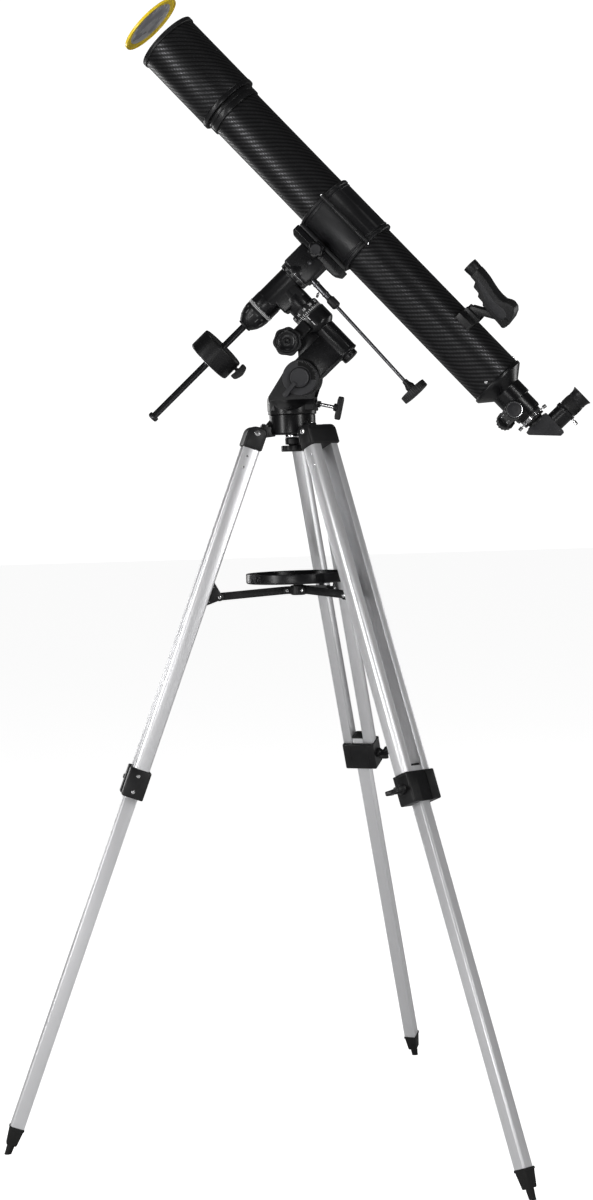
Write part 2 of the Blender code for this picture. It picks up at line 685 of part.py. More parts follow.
def make_polar_knob(polar_axis):
    """Slow-motion knob that faces -Y."""
    axis = frame("polar_knob_axis", polar_axis, (WORM_X, -WORM_HALF, WORM_Z),
                 x_axis=(0, 0, 1), z_axis=(0, -1, 0))
    knob = rod("ra_control_knob", axis, (0, 0, -0.040), (0, 0, 0.020), WORM_SHAFT_RADIUS, sides=PIN)
    join(knob, rod("knob_hub", axis, (0, 0, 0.004), (0, 0, 0.016), 0.011, sides=COARSE))
    join(knob, plate("knob_rim", axis, lobed(0.0265, 0.002, 7), 0.014, 0.0275, plane="XY"))
    join(knob, rod("knob_face", axis, (0, 0, 0.026), (0, 0, 0.0305), 0.022, 0.019, sides=MEDIUM))
    paint(knob, SATIN_BLACK, 0.4)


def make_setting_circle(polar_axis):
    ring = turned("ra_setting_circle", polar_axis, tube_profile(
        POLAR_NECK_RADIUS + GAP, CIRCLE_RADIUS, DRUM_FRONT + GAP, -0.054), ring=True)
    paint(ring, BLACK, 0.4)


# --- Declination axis ---------------------------------------------------------
# The declination frame has X away from the pole, Y as the world's and Z towards the tube.

def make_dec_housing(polar_axis, dec_axis):
    body = turned("declination_housing", dec_axis, [
        (0, DEC_TOP), (0.029, DEC_TOP), (0.029, DEC_TOP - 0.007), (DEC_BODY_RADIUS, DEC_TOP - 0.008),
        (DEC_BODY_RADIUS, DEC_BOTTOM), (0, DEC_BOTTOM)])
    join(body, rod("polar_neck", polar_axis, (0, 0, DRUM_FRONT + GAP), (0, 0, 0),
                   POLAR_NECK_RADIUS, sides=MEDIUM))
    join(body, rod("polar_shaft", polar_axis, (0, 0, -0.148), (0, 0, -0.03), POLAR_SHAFT_RADIUS))
    cut(body, rod("dec_bore", dec_axis, (0, 0, DEC_BOTTOM - 0.02), (0, 0, DEC_TOP + 0.02),
                  DEC_SHAFT_RADIUS + GAP, cutter=True))
    paint(body, BLACK, 0.3)

    circle_top = DEC_BOTTOM - GAP
    ring = turned("dec_setting_circle", dec_axis, tube_profile(
        DEC_SHAFT_RADIUS + GAP, DEC_BODY_RADIUS + 0.001, circle_top - DEC_CIRCLE_HEIGHT,
        circle_top), ring=True)
    paint(ring, BLACK, 0.4)


CONE_TOP = DEC_BOTTOM - DEC_CIRCLE_HEIGHT - 2 * GAP
WEIGHT_SHAFT_TOP = CONE_TOP - 0.012
KNOB_Z = WEIGHT_TOP - 0.0125


def make_counterweight_shaft(dec_axis):
    cone_bottom = CONE_TOP - CONE_HEIGHT
    bore = WEIGHT_SHAFT_RADIUS + GAP
    cone = turned("shaft_socket_cone", dec_axis, [
        (0, CONE_TOP), (0.0255, CONE_TOP), (0.025, CONE_TOP - 0.010), (0.021, CONE_TOP - 0.024),
        (0.0125, cone_bottom + 0.002), (0.012, cone_bottom), (bore, cone_bottom),
        (bore, WEIGHT_SHAFT_TOP + GAP), (0, WEIGHT_SHAFT_TOP + GAP)], steps=MEDIUM)
    paint(cone, BLACK, 0.4)
    shaft = turned("counterweight_shaft", dec_axis, [
        (0, WEIGHT_SHAFT_TOP), (WEIGHT_SHAFT_RADIUS, WEIGHT_SHAFT_TOP),
        (WEIGHT_SHAFT_RADIUS, WEIGHT_SHAFT_END), (0.0095, WEIGHT_SHAFT_END),
        (0.0095, WEIGHT_SHAFT_END - 0.006), (0.008, WEIGHT_SHAFT_END - 0.008),
        (0, WEIGHT_SHAFT_END - 0.008)], steps=COARSE)
    paint(shaft, (0.06, 0.06, 0.065), 0.25, 0.6)


def make_counterweight(weight_axis):
    """Cast weight; its frame sits on the shaft's axis at the weight's top."""
    edge = 0.003
    weight = turned("counterweight", weight_axis, [
        (WEIGHT_SHAFT_RADIUS + GAP, 0), (WEIGHT_RADIUS - edge, 0), (WEIGHT_RADIUS, -edge),
        (WEIGHT_RADIUS, -WEIGHT_HEIGHT + edge), (WEIGHT_RADIUS - edge, -WEIGHT_HEIGHT),
        (WEIGHT_SHAFT_RADIUS + GAP, -WEIGHT_HEIGHT)], ring=True)
    depth = KNOB_Z - WEIGHT_TOP
    cut(weight, rod("lock_hole", weight_axis, (0.012, 0, depth), (0.06, 0, depth),
                    KNOB_STEM_RADIUS + GAP, sides=PIN, cutter=True))
    paint(weight, BLACK, 0.35)
    axis = frame("weight_knob_axis", weight_axis, (WEIGHT_RADIUS, 0, depth),
                 x_axis=(0, 1, 0), z_axis=(1, 0, 0))
    knob = rod("counterweight_lock_knob", axis, (0, 0, -0.030), (0, 0, 0.012), KNOB_STEM_RADIUS,
               sides=PIN)
    outline = [(-0.016, 0.004), (-0.013, 0.0015), (0.013, 0.0015), (0.016, 0.004),
               (0.015, 0.0135), (0.006, 0.0185), (-0.006, 0.0185), (-0.015, 0.0135)]
    turn = frame("weight_wing", axis, x_axis=(0, 1, 0), z_axis=(0, 0, 1))
    join(knob, plate("lock_wing", turn, outline, -0.0045, 0.0045))
    paint(knob, BLACK, 0.5)


CONTROL_Y = -0.014
CONTROL_Z = 0.048
BLOCK_REAR = 0.0300
CONTROL_DROOP = 1.7
CONTROL_RADIUS = 0.004
SADDLE_KNOB_Z = 0.091
SADDLE_HALF = 0.024


def make_saddle(dec_axis):
    """Declination shaft, worm block and the long plate that carries the cradle."""
    flange = DEC_TOP + GAP
    saddle = turned("saddle", dec_axis, [
        (0, 0.050), (0.0265, 0.050), (0.0295, flange + 0.0065), (0.0295, flange),
        (DEC_SHAFT_RADIUS, flange), (DEC_SHAFT_RADIUS, CONE_TOP + GAP), (0, CONE_TOP + GAP)])
    join(saddle, box("worm_block", dec_axis, (-0.0290, -0.0265, flange + 0.003),
                     (BLOCK_REAR, 0.0265, SADDLE_BOTTOM + 0.004), bevel=0.004))
    join(saddle, box("saddle_plate", dec_axis, (-CRADLE_FRONT, -SADDLE_HALF, SADDLE_BOTTOM),
                     (-CRADLE_REAR + 0.003, SADDLE_HALF, SADDLE_TOP), bevel=0.003))
    control_axis = make_dec_control(dec_axis)
    cut(saddle, rod("control_hole", control_axis, (0, 0, -0.014), (0, 0, 0.02),
                    CONTROL_RADIUS + GAP, sides=PIN, cutter=True))
    cut(saddle, rod("saddle_knob_hole", dec_axis, (0, -0.05, SADDLE_KNOB_Z), (0, -0.010, SADDLE_KNOB_Z),
                    KNOB_STEM_RADIUS + GAP, sides=PIN, cutter=True))
    paint(saddle, BLACK, 0.35)

    knob_axis = frame("saddle_knob_axis", dec_axis, (0, -SADDLE_HALF, SADDLE_KNOB_Z),
                      x_axis=(1, 0, 0), z_axis=(0, -1, 0))
    knob = rod("saddle_clamp_knob", knob_axis, (0, 0, -0.012), (0, 0, 0.014), KNOB_STEM_RADIUS,
               sides=PIN)
    join(knob, plate("saddle_knob_grip", knob_axis, lobed(0.0158, 0.0030, 6), 0.008, 0.022,
                     plane="XY"))
    join(knob, rod("saddle_knob_face", knob_axis, (0, 0, 0.021), (0, 0, 0.0245), 0.0095, sides=MEDIUM))
    paint(knob, SATIN_BLACK, 0.4)


def make_dec_control(dec_axis):
    """Slow-motion control: a bush, a coupling, a stiff rod and a hand knob."""
    droop = radians(CONTROL_DROOP)
    axis = frame("dec_control_axis", dec_axis, (BLOCK_REAR, CONTROL_Y, CONTROL_Z),
                 x_axis=(0, 1, 0), z_axis=(cos(droop), 0, -sin(droop)))
    knob_end = 0.282
    profile = [
        (0, knob_end), (0.022, knob_end), (0.0265, knob_end - 0.003), (0.0265, knob_end - 0.011),
        (0.022, knob_end - 0.014), (0.009, knob_end - 0.014), (0.009, knob_end - 0.020),
        (0.0032, knob_end - 0.022), (0.0032, 0.068), (0.0085, 0.066), (0.0085, 0.048),
        (0.006, 0.046), (0.006, 0.002), (CONTROL_RADIUS, 0.002), (CONTROL_RADIUS, -0.012),
        (0, -0.012)]
    control = turned("dec_control", axis, profile, steps=COARSE)
    paint(control, SATIN_BLACK, 0.4)
    return axis


# --- Cradle -------------------------------------------------------------------
# The tube frame has X away from the mount, Y as the world's and Z towards the sky end.

CRADLE_RADIUS = TUBE_RADIUS + GAP + CRADLE_WALL
HINGE_Y = -sqrt(CRADLE_RADIUS ** 2 - HINGE_ABOVE_AXIS ** 2) - 0.0030
KNUCKLE_HALF = 0.0297


def cradle_half(name, tube_axis):
    """Round shell with a bead at each end."""
    inner, outer, bead = TUBE_RADIUS + GAP, CRADLE_RADIUS, CRADLE_RADIUS + 0.002
    return turned(name, tube_axis, [
        (inner, CRADLE_FRONT), (bead, CRADLE_FRONT), (bead, CRADLE_FRONT - 0.006),
        (outer, CRADLE_FRONT - 0.007), (outer, CRADLE_REAR + 0.007),
        (bead, CRADLE_REAR + 0.006), (bead, CRADLE_REAR), (inner, CRADLE_REAR)],
        steps=FINE, ring=True)


def knuckle(tube_axis, low, high, radius=KNUCKLE_RADIUS, cutter=False):
    return rod("knuckle", tube_axis, (HINGE_ABOVE_AXIS, HINGE_Y, low),
               (HINGE_ABOVE_AXIS, HINGE_Y, high), radius, sides=PIN, cutter=cutter)


def make_cradle(tube_axis, lid_axis):
    front, rear = CRADLE_FRONT, CRADLE_REAR
    ends = ((KNUCKLE_HALF + GAP, front), (rear, -KNUCKLE_HALF - GAP))
    big, room = 0.2, KNUCKLE_RADIUS + GAP
    far_y = CRADLE_RADIUS - 0.002

    lower = cradle_half("cradle_lower", tube_axis)
    cut(lower, box("upper_space", tube_axis, (HINGE_ABOVE_AXIS - GAP / 2, -big, -big), (big, big, big),
                   cutter=True))
    cut(lower, knuckle(tube_axis, -KNUCKLE_HALF - GAP, KNUCKLE_HALF + GAP, room, True))
    base_low = SADDLE_TOP + GAP - TUBE_ABOVE_DEC
    base_high = -TUBE_RADIUS - 2 * GAP
    join(lower, box("cradle_base", tube_axis, (base_low, -0.022, rear + 0.002),
                    (base_high, 0.022, front - 0.002)))
    join(lower, *[knuckle(tube_axis, low, high) for low, high in ends])
    join(lower, box("lower_ear", tube_axis, (HINGE_ABOVE_AXIS - 0.016, far_y, -0.012),
                    (HINGE_ABOVE_AXIS - GAP / 2, far_y + 0.016, 0.012)))
    drill_hinge(lower, tube_axis)
    paint(lower, BLACK, 0.35)

    upper = cradle_half("cradle_upper", tube_axis)
    cut(upper, box("lower_space", tube_axis, (-big, -big, -big), (HINGE_ABOVE_AXIS + GAP / 2, big, big),
                   cutter=True))
    for low, high in ends:
        cut(upper, knuckle(tube_axis, low - GAP, high + GAP, room, True))
    join(upper, knuckle(tube_axis, -KNUCKLE_HALF, KNUCKLE_HALF))
    join(upper, box("upper_ear", tube_axis, (HINGE_ABOVE_AXIS + GAP / 2, far_y, -0.012),
                    (HINGE_ABOVE_AXIS + 0.012, far_y + 0.016, 0.012)))
    drill_hinge(upper, tube_axis)
    move_origin_to(upper, lid_axis)
    paint(upper, BLACK, 0.35)

    pin = rod("cradle_hinge_pin", tube_axis, (HINGE_ABOVE_AXIS, HINGE_Y, rear - 0.003),
              (HINGE_ABOVE_AXIS, HINGE_Y, front + 0.003), HINGE_PIN_RADIUS, sides=PIN)
    paint(pin, CHROME, 0.3, 1.0)


def drill_hinge(half, tube_axis):
    cut(half, knuckle(tube_axis, CRADLE_REAR - 0.01, CRADLE_FRONT + 0.01, HINGE_PIN_RADIUS + GAP, True))


def move_origin_to(obj, axis):
    """Hangs the object under an axis empty and leaves it where it is."""
    bpy.context.view_layer.update()
    world = obj.matrix_world.copy()
    obj.parent = axis
    obj.matrix_parent_inverse = axis.matrix_world.inverted() @ world


# --- Optical tube --------------------------------------------------------------

CELL_FRONT = TUBE_FRONT + GAP + CELL_LENGTH
COLLAR_HEIGHT = 0.010
SHIELD_REAR = CELL_FRONT + GAP
SHIELD_FRONT = SHIELD_REAR + SHIELD_LENGTH
SEAT = TUBE_FRONT + 0.004


def make_tube(tube_axis):
    tube = turned("main_tube", tube_axis, tube_profile(
        TUBE_RADIUS - TUBE_WALL, TUBE_RADIUS, TUBE_REAR, TUBE_FRONT), steps=FINE, ring=True)
    paint(tube, BLACK, 0.3)


def make_lens_cell(tube_axis):
    """Ring on the front of the tube, with a spigot inside it and a collar for the shield."""
    spigot = TUBE_RADIUS - TUBE_WALL - GAP
    cell = turned("lens_cell", tube_axis, [
        (LENS_RADIUS + GAP, CELL_FRONT + COLLAR_HEIGHT), (TUBE_RADIUS, CELL_FRONT + COLLAR_HEIGHT),
        (TUBE_RADIUS, CELL_FRONT), (TUBE_RADIUS + 0.0025, CELL_FRONT),
        (TUBE_RADIUS + 0.0025, TUBE_FRONT + GAP), (spigot, TUBE_FRONT + GAP),
        (spigot, TUBE_FRONT - 0.020), (LENS_RADIUS - 0.003, TUBE_FRONT - 0.020),
        (LENS_RADIUS - 0.003, SEAT), (LENS_RADIUS + GAP, SEAT)], steps=FINE, ring=True)
    paint(cell, BLACK, 0.35)

    back = SEAT + GAP
    front = back + LENS_THICKNESS
    bulge = 0.0035
    rim = [(LENS_RADIUS, front), (LENS_RADIUS, back)]
    face = [(LENS_RADIUS * i / 5, front + bulge * (1 - (i / 5) ** 2)) for i in range(5)]
    lens = turned("objective_lens", tube_axis, [*face, *rim, (0, back)], steps=FINE)
    paint(lens, (0.55, 0.65, 0.70), 0.05)


def make_dew_shield(tube_axis):
    inner = SHIELD_RADIUS - SHIELD_WALL
    bead = SHIELD_RADIUS + 0.001
    shield = turned("dew_shield", tube_axis, [
        (inner, SHIELD_FRONT), (LIP_RADIUS, SHIELD_FRONT), (LIP_RADIUS, SHIELD_FRONT - 0.007),
        (SHIELD_RADIUS, SHIELD_FRONT - 0.008), (SHIELD_RADIUS, SHIELD_REAR + 0.009),
        (bead, SHIELD_REAR + 0.008), (bead, SHIELD_REAR), (TUBE_RADIUS + GAP, SHIELD_REAR),
        (TUBE_RADIUS + GAP, SHIELD_REAR + 0.005), (inner, SHIELD_REAR + 0.006)],
        steps=FINE, ring=True)
    paint(shield, BLACK, 0.3)


def make_solar_filter(filter_axis):
    """Push-on filter in its frame: a ring with a short skirt, and the film disc in it."""
    skirt = LIP_RADIUS + GAP
    outer = skirt + 0.0018
    ring = turned("solar_filter_ring", filter_axis, [
        (FILM_RADIUS - 0.0015, 0.0045), (outer - 0.001, 0.0045), (outer, 0.003),
        (outer, -FILTER_SKIRT), (skirt, -FILTER_SKIRT), (skirt, 0),
        (FILM_RADIUS + GAP, 0), (FILM_RADIUS + GAP, 0.002), (FILM_RADIUS - 0.0015, 0.002)],
        steps=FINE, ring=True)
    paint(ring, (0.9, 0.72, 0.05), 0.35)
    film = rod("solar_filter_film", filter_axis, (0, 0, 0.0003), (0, 0, 0.0017), FILM_RADIUS, sides=FINE)
    paint(film, (0.6, 0.6, 0.64), 0.25, 0.8)


# --- Focuser -------------------------------------------------------------------

FLANGE_REAR = TUBE_REAR - GAP - 0.0065
CONE_REAR = FLANGE_REAR - CONE_LENGTH
COLLAR_REAR = CONE_REAR - COLLAR_LENGTH
FOCUSER_REAR = COLLAR_REAR - FOCUSER_LENGTH
PINION_Z = FLANGE_REAR - PINION_BACK
HOLDER_REAR = FOCUSER_REAR - GAP - HOLDER_LENGTH
HOUSING_FRONT = HOLDER_REAR - 0.005


def make_focuser(tube_axis, focuser_axis):
    """Rear casting; focuser_axis is the tube axis turned so that the pinion lies along its Y."""
    bore = DRAWTUBE_RADIUS + GAP
    spigot = TUBE_RADIUS - TUBE_WALL - GAP
    body = turned("focuser_body", tube_axis, [
        (bore, TUBE_REAR + 0.018), (spigot, TUBE_REAR + 0.018), (spigot, TUBE_REAR - GAP),
        (TUBE_RADIUS + 0.002, TUBE_REAR - GAP), (TUBE_RADIUS + 0.002, FLANGE_REAR),
        (COLLAR_RADIUS + 0.0005, CONE_REAR), (COLLAR_RADIUS, CONE_REAR - 0.001),
        (COLLAR_RADIUS, COLLAR_REAR), (FOCUSER_RADIUS, COLLAR_REAR - 0.001),
        (FOCUSER_RADIUS, FOCUSER_REAR), (bore, FOCUSER_REAR)], steps=FINE, ring=True)
    block_half = 0.026
    join(body, box("pinion_block", focuser_axis, (-PINION_DROP - 0.009, -block_half, PINION_Z - 0.012),
                   (-bore - 0.0012, block_half, PINION_Z + 0.014), bevel=0.003))
    cut(body, rod("pinion_bore", focuser_axis, (-PINION_DROP, -0.05, PINION_Z),
                  (-PINION_DROP, 0.05, PINION_Z), PINION_RADIUS + GAP, sides=PIN, cutter=True))
    paint(body, BLACK, 0.35)

    pinion_axis = frame("pinion_axis", focuser_axis, (-PINION_DROP, 0, PINION_Z),
                        x_axis=(0, 0, 1), z_axis=(0, 1, 0))
    start, end = block_half + 0.003, block_half + 0.020
    pinion = rod("focus_knobs", pinion_axis, (0, 0, -end + 0.002), (0, 0, end - 0.002),
                 PINION_RADIUS, sides=PIN)
    for side in (-1, 1):
        low, high = sorted((side * start, side * end))
        join(pinion, plate("focus_grip", pinion_axis, lobed(FOCUS_KNOB_RADIUS, 0.0014, 14, 2),
                           low, high, plane="XY"))
        join(pinion, rod("focus_cap", pinion_axis, (0, 0, side * (end - 0.002)),
                         (0, 0, side * (end + 0.0015)), FOCUS_KNOB_RADIUS - 0.003, sides=MEDIUM))
    paint(pinion, BLACK, 0.4)


def make_drawtube(draw_axis):
    """Sliding tube with the eyepiece holder on its end; the frame's Z = 0 is the tube frame's."""
    inner = DRAWTUBE_RADIUS - DRAWTUBE_WALL
    front = FOCUSER_REAR + DRAWTUBE_INSIDE
    holder_front = FOCUSER_REAR - GAP
    socket = BARREL_RADIUS + GAP
    draw = turned("drawtube", draw_axis, [
        (inner, front), (DRAWTUBE_RADIUS, front), (DRAWTUBE_RADIUS, holder_front),
        (DRAWTUBE_RADIUS + 0.0012, holder_front), (DRAWTUBE_RADIUS + 0.0012, HOLDER_REAR),
        (socket, HOLDER_REAR), (socket, holder_front + 0.006), (inner, holder_front + 0.006)],
        steps=MEDIUM, ring=True)
    paint(draw, BLACK, 0.35)


def make_diagonal(diagonal_axis):
    """Right-angle mirror housing with a nosepiece and an eyepiece socket."""
    half, side = 0.018, DIAGONAL_SIDE
    front = HOUSING_FRONT
    top, bottom = side / 2, -side / 2 - 0.003
    outline = [(top, front), (bottom + 0.008, front), (bottom, front - 0.0015), (bottom, front - 0.007),
               (top - 0.010, front - side - 0.001), (top - 0.002, front - side - 0.001),
               (top, front - side + 0.003)]
    body = plate("star_diagonal", diagonal_axis, outline, -half, half)
    socket_z = front - side / 2 + 0.001
    join(body, rod("nosepiece", diagonal_axis, (0, 0, front - 0.003), (0, 0, front + 0.030),
                   BARREL_RADIUS, sides=MEDIUM))
    join(body, rod("socket_pipe", diagonal_axis, (top - 0.003, 0, socket_z), (SOCKET_TOP, 0, socket_z),
                   SOCKET_RADIUS, sides=MEDIUM))
    join(body, rod("socket_ring", diagonal_axis, (SOCKET_TOP - 0.008, 0, socket_z),
                   (SOCKET_TOP - 0.0005, 0, socket_z), SOCKET_RADIUS + 0.0017, sides=MEDIUM))
    cut(body, rod("socket_bore", diagonal_axis, (0.004, 0, socket_z), (SOCKET_TOP + 0.02, 0, socket_z),
                  BARREL_RADIUS + GAP, sides=MEDIUM, cutter=True))
    cut(body, rod("nose_bore", diagonal_axis, (0, 0, socket_z), (0, 0, front + 0.05), 0.0138,
                  sides=MEDIUM, cutter=True))
    paint(body, SATIN_BLACK, 0.5)
    return frame("eyepiece_axis", diagonal_axis, (SOCKET_TOP + GAP, 0, socket_z),
                 x_axis=(0, 0, 1), z_axis=(1, 0, 0))


def make_eyepiece(eyepiece_axis):
    top = EYEPIECE_LENGTH
    eyepiece = turned("eyepiece", eyepiece_axis, [
        (0, top - 0.004), (0.014, top - 0.004), (0.017, top), (0.0203, top), (0.0203, top - 0.003),
        (0.0175, top - 0.007), (0.0175, 0), (BARREL_RADIUS, 0), (BARREL_RADIUS, -0.026),
        (0.013, -0.026), (0.013, -0.010), (0, -0.010)], steps=MEDIUM)
    paint(eyepiece, BLACK, 0.35)


# --- Finder --------------------------------------------------------------------
# The finder frame is the tube frame turned about its Z, so that X points at the finder.

def make_finder(finder_axis):
    """Shoe and finder. Heights are above the tube's surface."""
    surface = TUBE_RADIUS
    shoe = box("finder_shoe", finder_axis, (surface - 0.014, -0.026, -0.296),
               (surface + 0.006, 0.026, -0.263))
    join(shoe, box("shoe_riser", finder_axis, (surface + 0.003, -0.012, -0.2975),
                   (surface + 0.0165, 0.012, -0.264)))
    cut(shoe, rod("shoe_seat", finder_axis, (0, 0, -0.4), (0, 0, -0.2), surface + GAP, sides=FINE,
                  cutter=True))
    keep(shoe, rod("shoe_round", finder_axis, (0.010, 0, -0.4), (0.010, 0, -0.2), surface + 0.0075,
                   sides=FINE, cutter=True))
    cut(shoe, box("dovetail_slot", finder_axis, (surface + 0.0105, -0.0075, -0.31),
                  (surface + 0.030, 0.0075, -0.25), cutter=True))
    paint(shoe, SATIN_BLACK, 0.5)

    half = FINDER_WIDTH / 2
    tail = FINDER_FRONT - FINDER_LENGTH
    reach = 1 / cos(radians(FINDER_TURN))
    side_view = [
        (0.0675, -0.232), (0.0665, -0.252), (0.0605, -0.275), (0.0600, -0.305), (0.0660, -0.3145),
        (0.0655, tail + 0.010), (0.0500, tail), (0.0300, tail - 0.002), (0.0265, tail + 0.002),
        (0.0275, -0.3300), (0.0290, -0.3010), (0.0300, -0.2830), (0.0340, -0.2805),
        (0.0345, -0.2665), (0.0400, -0.2635), (0.0410, -0.2490), (0.0495, -0.2455), (0.0500, -0.232)]
    outline = [((surface + height) * reach, z) for height, z in side_view]
    body = plate("finder_body", finder_axis, outline, -half, half)
    centre = (surface + 0.0588) * reach
    join(body, rod("finder_ring", finder_axis, (centre, 0, -0.2335), (centre, 0, FINDER_FRONT),
                   0.0138, sides=MEDIUM))
    top = (surface + 0.0315) * reach
    stalk = [(top, -0.302), (top, -0.326), (surface + 0.0220, -0.294), (surface + 0.0108, -0.294),
             (surface + 0.0108, -0.266), (surface + 0.0220, -0.270)]
    join(body, plate("finder_stalk", finder_axis, stalk, -0.0070, 0.0070))
    cut(body, rod("finder_window", finder_axis, (centre, 0, -0.226), (centre, 0, -0.2), 0.0115,
                  sides=MEDIUM, cutter=True))
    paint(body, SATIN_BLACK, 0.45)


# --- Assembly ------------------------------------------------------------------

def build():
    stand = frame("stand", None, (STAND_X, STAND_Y, 0))
    for index in range(LEG_COUNT):
        make_leg(index, stand)
    make_spreader(stand)
    make_head(stand)

    azimuth_axis = frame("azimuth_axis", stand, (0, 0, HEAD_TOP))
    make_azimuth_base(azimuth_axis)
    altitude_axis = frame("altitude_axis", azimuth_axis, (PIVOT_X, 0, PIVOT_RISE))
    make_altitude_pivot(altitude_axis)

    latitude = radians(LATITUDE)
    pole = Vector((-cos(latitude), 0, sin(latitude)))
    tubeward = Vector((sin(latitude), 0, cos(latitude)))
    polar_axis = frame("polar_axis", altitude_axis, pole * PIVOT_TO_DEC + tubeward * PIVOT_TO_POLAR,
                       x_axis=tubeward, z_axis=pole)
    make_polar_housing(polar_axis)
    make_polar_knob(polar_axis)
    make_setting_circle(polar_axis)

    dec_axis = frame("declination_axis", polar_axis, x_axis=(0, 0, -1), z_axis=(1, 0, 0))
    make_dec_housing(polar_axis, dec_axis)
    make_counterweight_shaft(dec_axis)
    make_counterweight(frame("counterweight_axis", dec_axis, (0, 0, WEIGHT_TOP)))
    make_saddle(dec_axis)

    tube_axis = frame("tube_axis", dec_axis, (0, 0, TUBE_ABOVE_DEC), x_axis=(0, 0, 1), z_axis=(-1, 0, 0))
    lid_axis = frame("cradle_lid_axis", tube_axis, (HINGE_ABOVE_AXIS, HINGE_Y, 0))
    make_cradle(tube_axis, lid_axis)
    make_tube(tube_axis)
    make_lens_cell(tube_axis)
    make_dew_shield(tube_axis)
    make_solar_filter(frame("filter_axis", tube_axis, (0, 0, SHIELD_FRONT + FILTER_DISTANCE)))

    tilt = radians(FOCUSER_TILT)
    focuser_axis = frame("focuser_axis", tube_axis, x_axis=(cos(tilt), sin(tilt), 0))
    make_focuser(tube_axis, focuser_axis)
    make_drawtube(frame("drawtube_axis", tube_axis))
    make_eyepiece(make_diagonal(frame("diagonal_axis", tube_axis)))

    lean = radians(-FINDER_TURN)
    make_finder(frame("finder_axis", tube_axis, x_axis=(cos(lean), sin(lean), 0)))


clear_scene()
PARTS = new_collection("refractor_telescope")
TOOLS = new_collection("cutters")
build()
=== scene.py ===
# Refractor telescope on an equatorial mount and a three-legged stand
import json
from math import acos, atan2, cos, degrees, hypot, pi, radians, sin

import bpy
from mathutils import Matrix, Vector


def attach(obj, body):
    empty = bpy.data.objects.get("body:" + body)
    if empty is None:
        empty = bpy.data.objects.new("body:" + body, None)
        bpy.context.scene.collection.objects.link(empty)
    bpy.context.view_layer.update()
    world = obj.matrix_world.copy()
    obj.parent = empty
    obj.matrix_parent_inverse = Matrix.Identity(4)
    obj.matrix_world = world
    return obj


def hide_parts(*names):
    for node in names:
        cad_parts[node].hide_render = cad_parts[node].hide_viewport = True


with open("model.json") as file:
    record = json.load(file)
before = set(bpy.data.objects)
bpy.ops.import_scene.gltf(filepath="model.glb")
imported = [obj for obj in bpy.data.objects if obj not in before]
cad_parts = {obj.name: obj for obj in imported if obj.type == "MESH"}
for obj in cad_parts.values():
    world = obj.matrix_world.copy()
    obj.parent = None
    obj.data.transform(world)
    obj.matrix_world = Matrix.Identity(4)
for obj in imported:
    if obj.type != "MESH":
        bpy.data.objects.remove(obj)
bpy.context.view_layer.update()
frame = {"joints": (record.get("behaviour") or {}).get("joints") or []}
joints = {j["name"]: j for j in frame["joints"]}


def jointPoint(name):
    return Vector(joints[name]["pos_m"])


def jointLine(name):
    return Vector(joints[name]["axis"]).normalized()


def placeAt(origin, zAxis, xAxis):  # a frame from its origin, its Z and roughly its X
    z = Vector(zAxis).normalized()
    x = Vector(xAxis)
    x = (x - z * x.dot(z)).normalized()
    return Matrix.Translation(origin) @ Matrix((x, z.cross(x), z)).transposed().to_4x4()


def facing(origin, side):  # a frame that looks along Y, to one side or the other
    return placeAt(origin, (0, side, 0), (1, 0, 0))


def outward(origin):  # a frame that looks along X
    return placeAt(origin, (1, 0, 0), (0, 0, 1))


def shifted(x, y, z):
    return Matrix.Translation((x, y, z))


def turned(angle, axis="Z"):
    return Matrix.Rotation(angle, 4, axis)


# The frames that the pieces are made in
tubeRise = 0.159  # tube axis above the crossing of the two mount axes
pole = jointLine("right_ascension_turn")
tubeward = jointLine("declination_turn")
crossing = jointPoint("declination_turn")
azimuthPlace = Matrix.Translation(jointPoint("azimuth_turn"))
standPlace = Matrix.Translation(Vector((*jointPoint("azimuth_turn").xy, 0)))
pivotPlace = Matrix.Translation(jointPoint("altitude_tilt"))
polarPlace = placeAt(crossing, pole, tubeward)
decPlace = placeAt(crossing, tubeward, -pole)
tubePlace = placeAt(crossing + tubeward * tubeRise, pole, tubeward)


# Camera, floor and light

camera = {"place": (0.587, -4.244, 1.2139), "yaw": 8.0, "pitch": -3.1, "roll": -1.98, "lens": 68.92,
          "sensor": 36}


def makeCamera():
    leaveSelection()
    bpy.ops.object.camera_add(location=camera["place"])
    eye = bpy.context.object
    tilt = turned(radians(90 + camera["pitch"]), "X") @ turned(radians(camera["roll"]))
    eye.matrix_world = shifted(*camera["place"]) @ turned(radians(camera["yaw"])) @ tilt
    eye.data.sensor_width = camera["sensor"]
    eye.data.lens = camera["lens"]
    bpy.context.scene.camera = eye


studio = {"floorSize": 60, "floorDrop": -0.0005, "paper": (0.93, 0.93, 0.93), "seen": 1.1, "fill": 0.06,
          "floorGlow": 0.90}


def makeStudio():
    leaveSelection()
    bpy.ops.mesh.primitive_plane_add(size=studio["floorSize"], location=(0, 0, studio["floorDrop"]))
    floor = bpy.context.object
    floor.name = "paleFloor"
    floor.data.materials.append(finishes["paper"])


def softLight(name, place, aim, size, power):
    leaveSelection()
    bpy.ops.object.light_add(type="AREA", location=place)
    lamp = bpy.context.object
    lamp.name = name
    lamp.data.shape = "RECTANGLE"
    lamp.data.size, lamp.data.size_y = size
    lamp.data.energy = power
    lamp.rotation_euler = (Vector(aim) - Vector(place)).to_track_quat("-Z", "Y").to_euler()


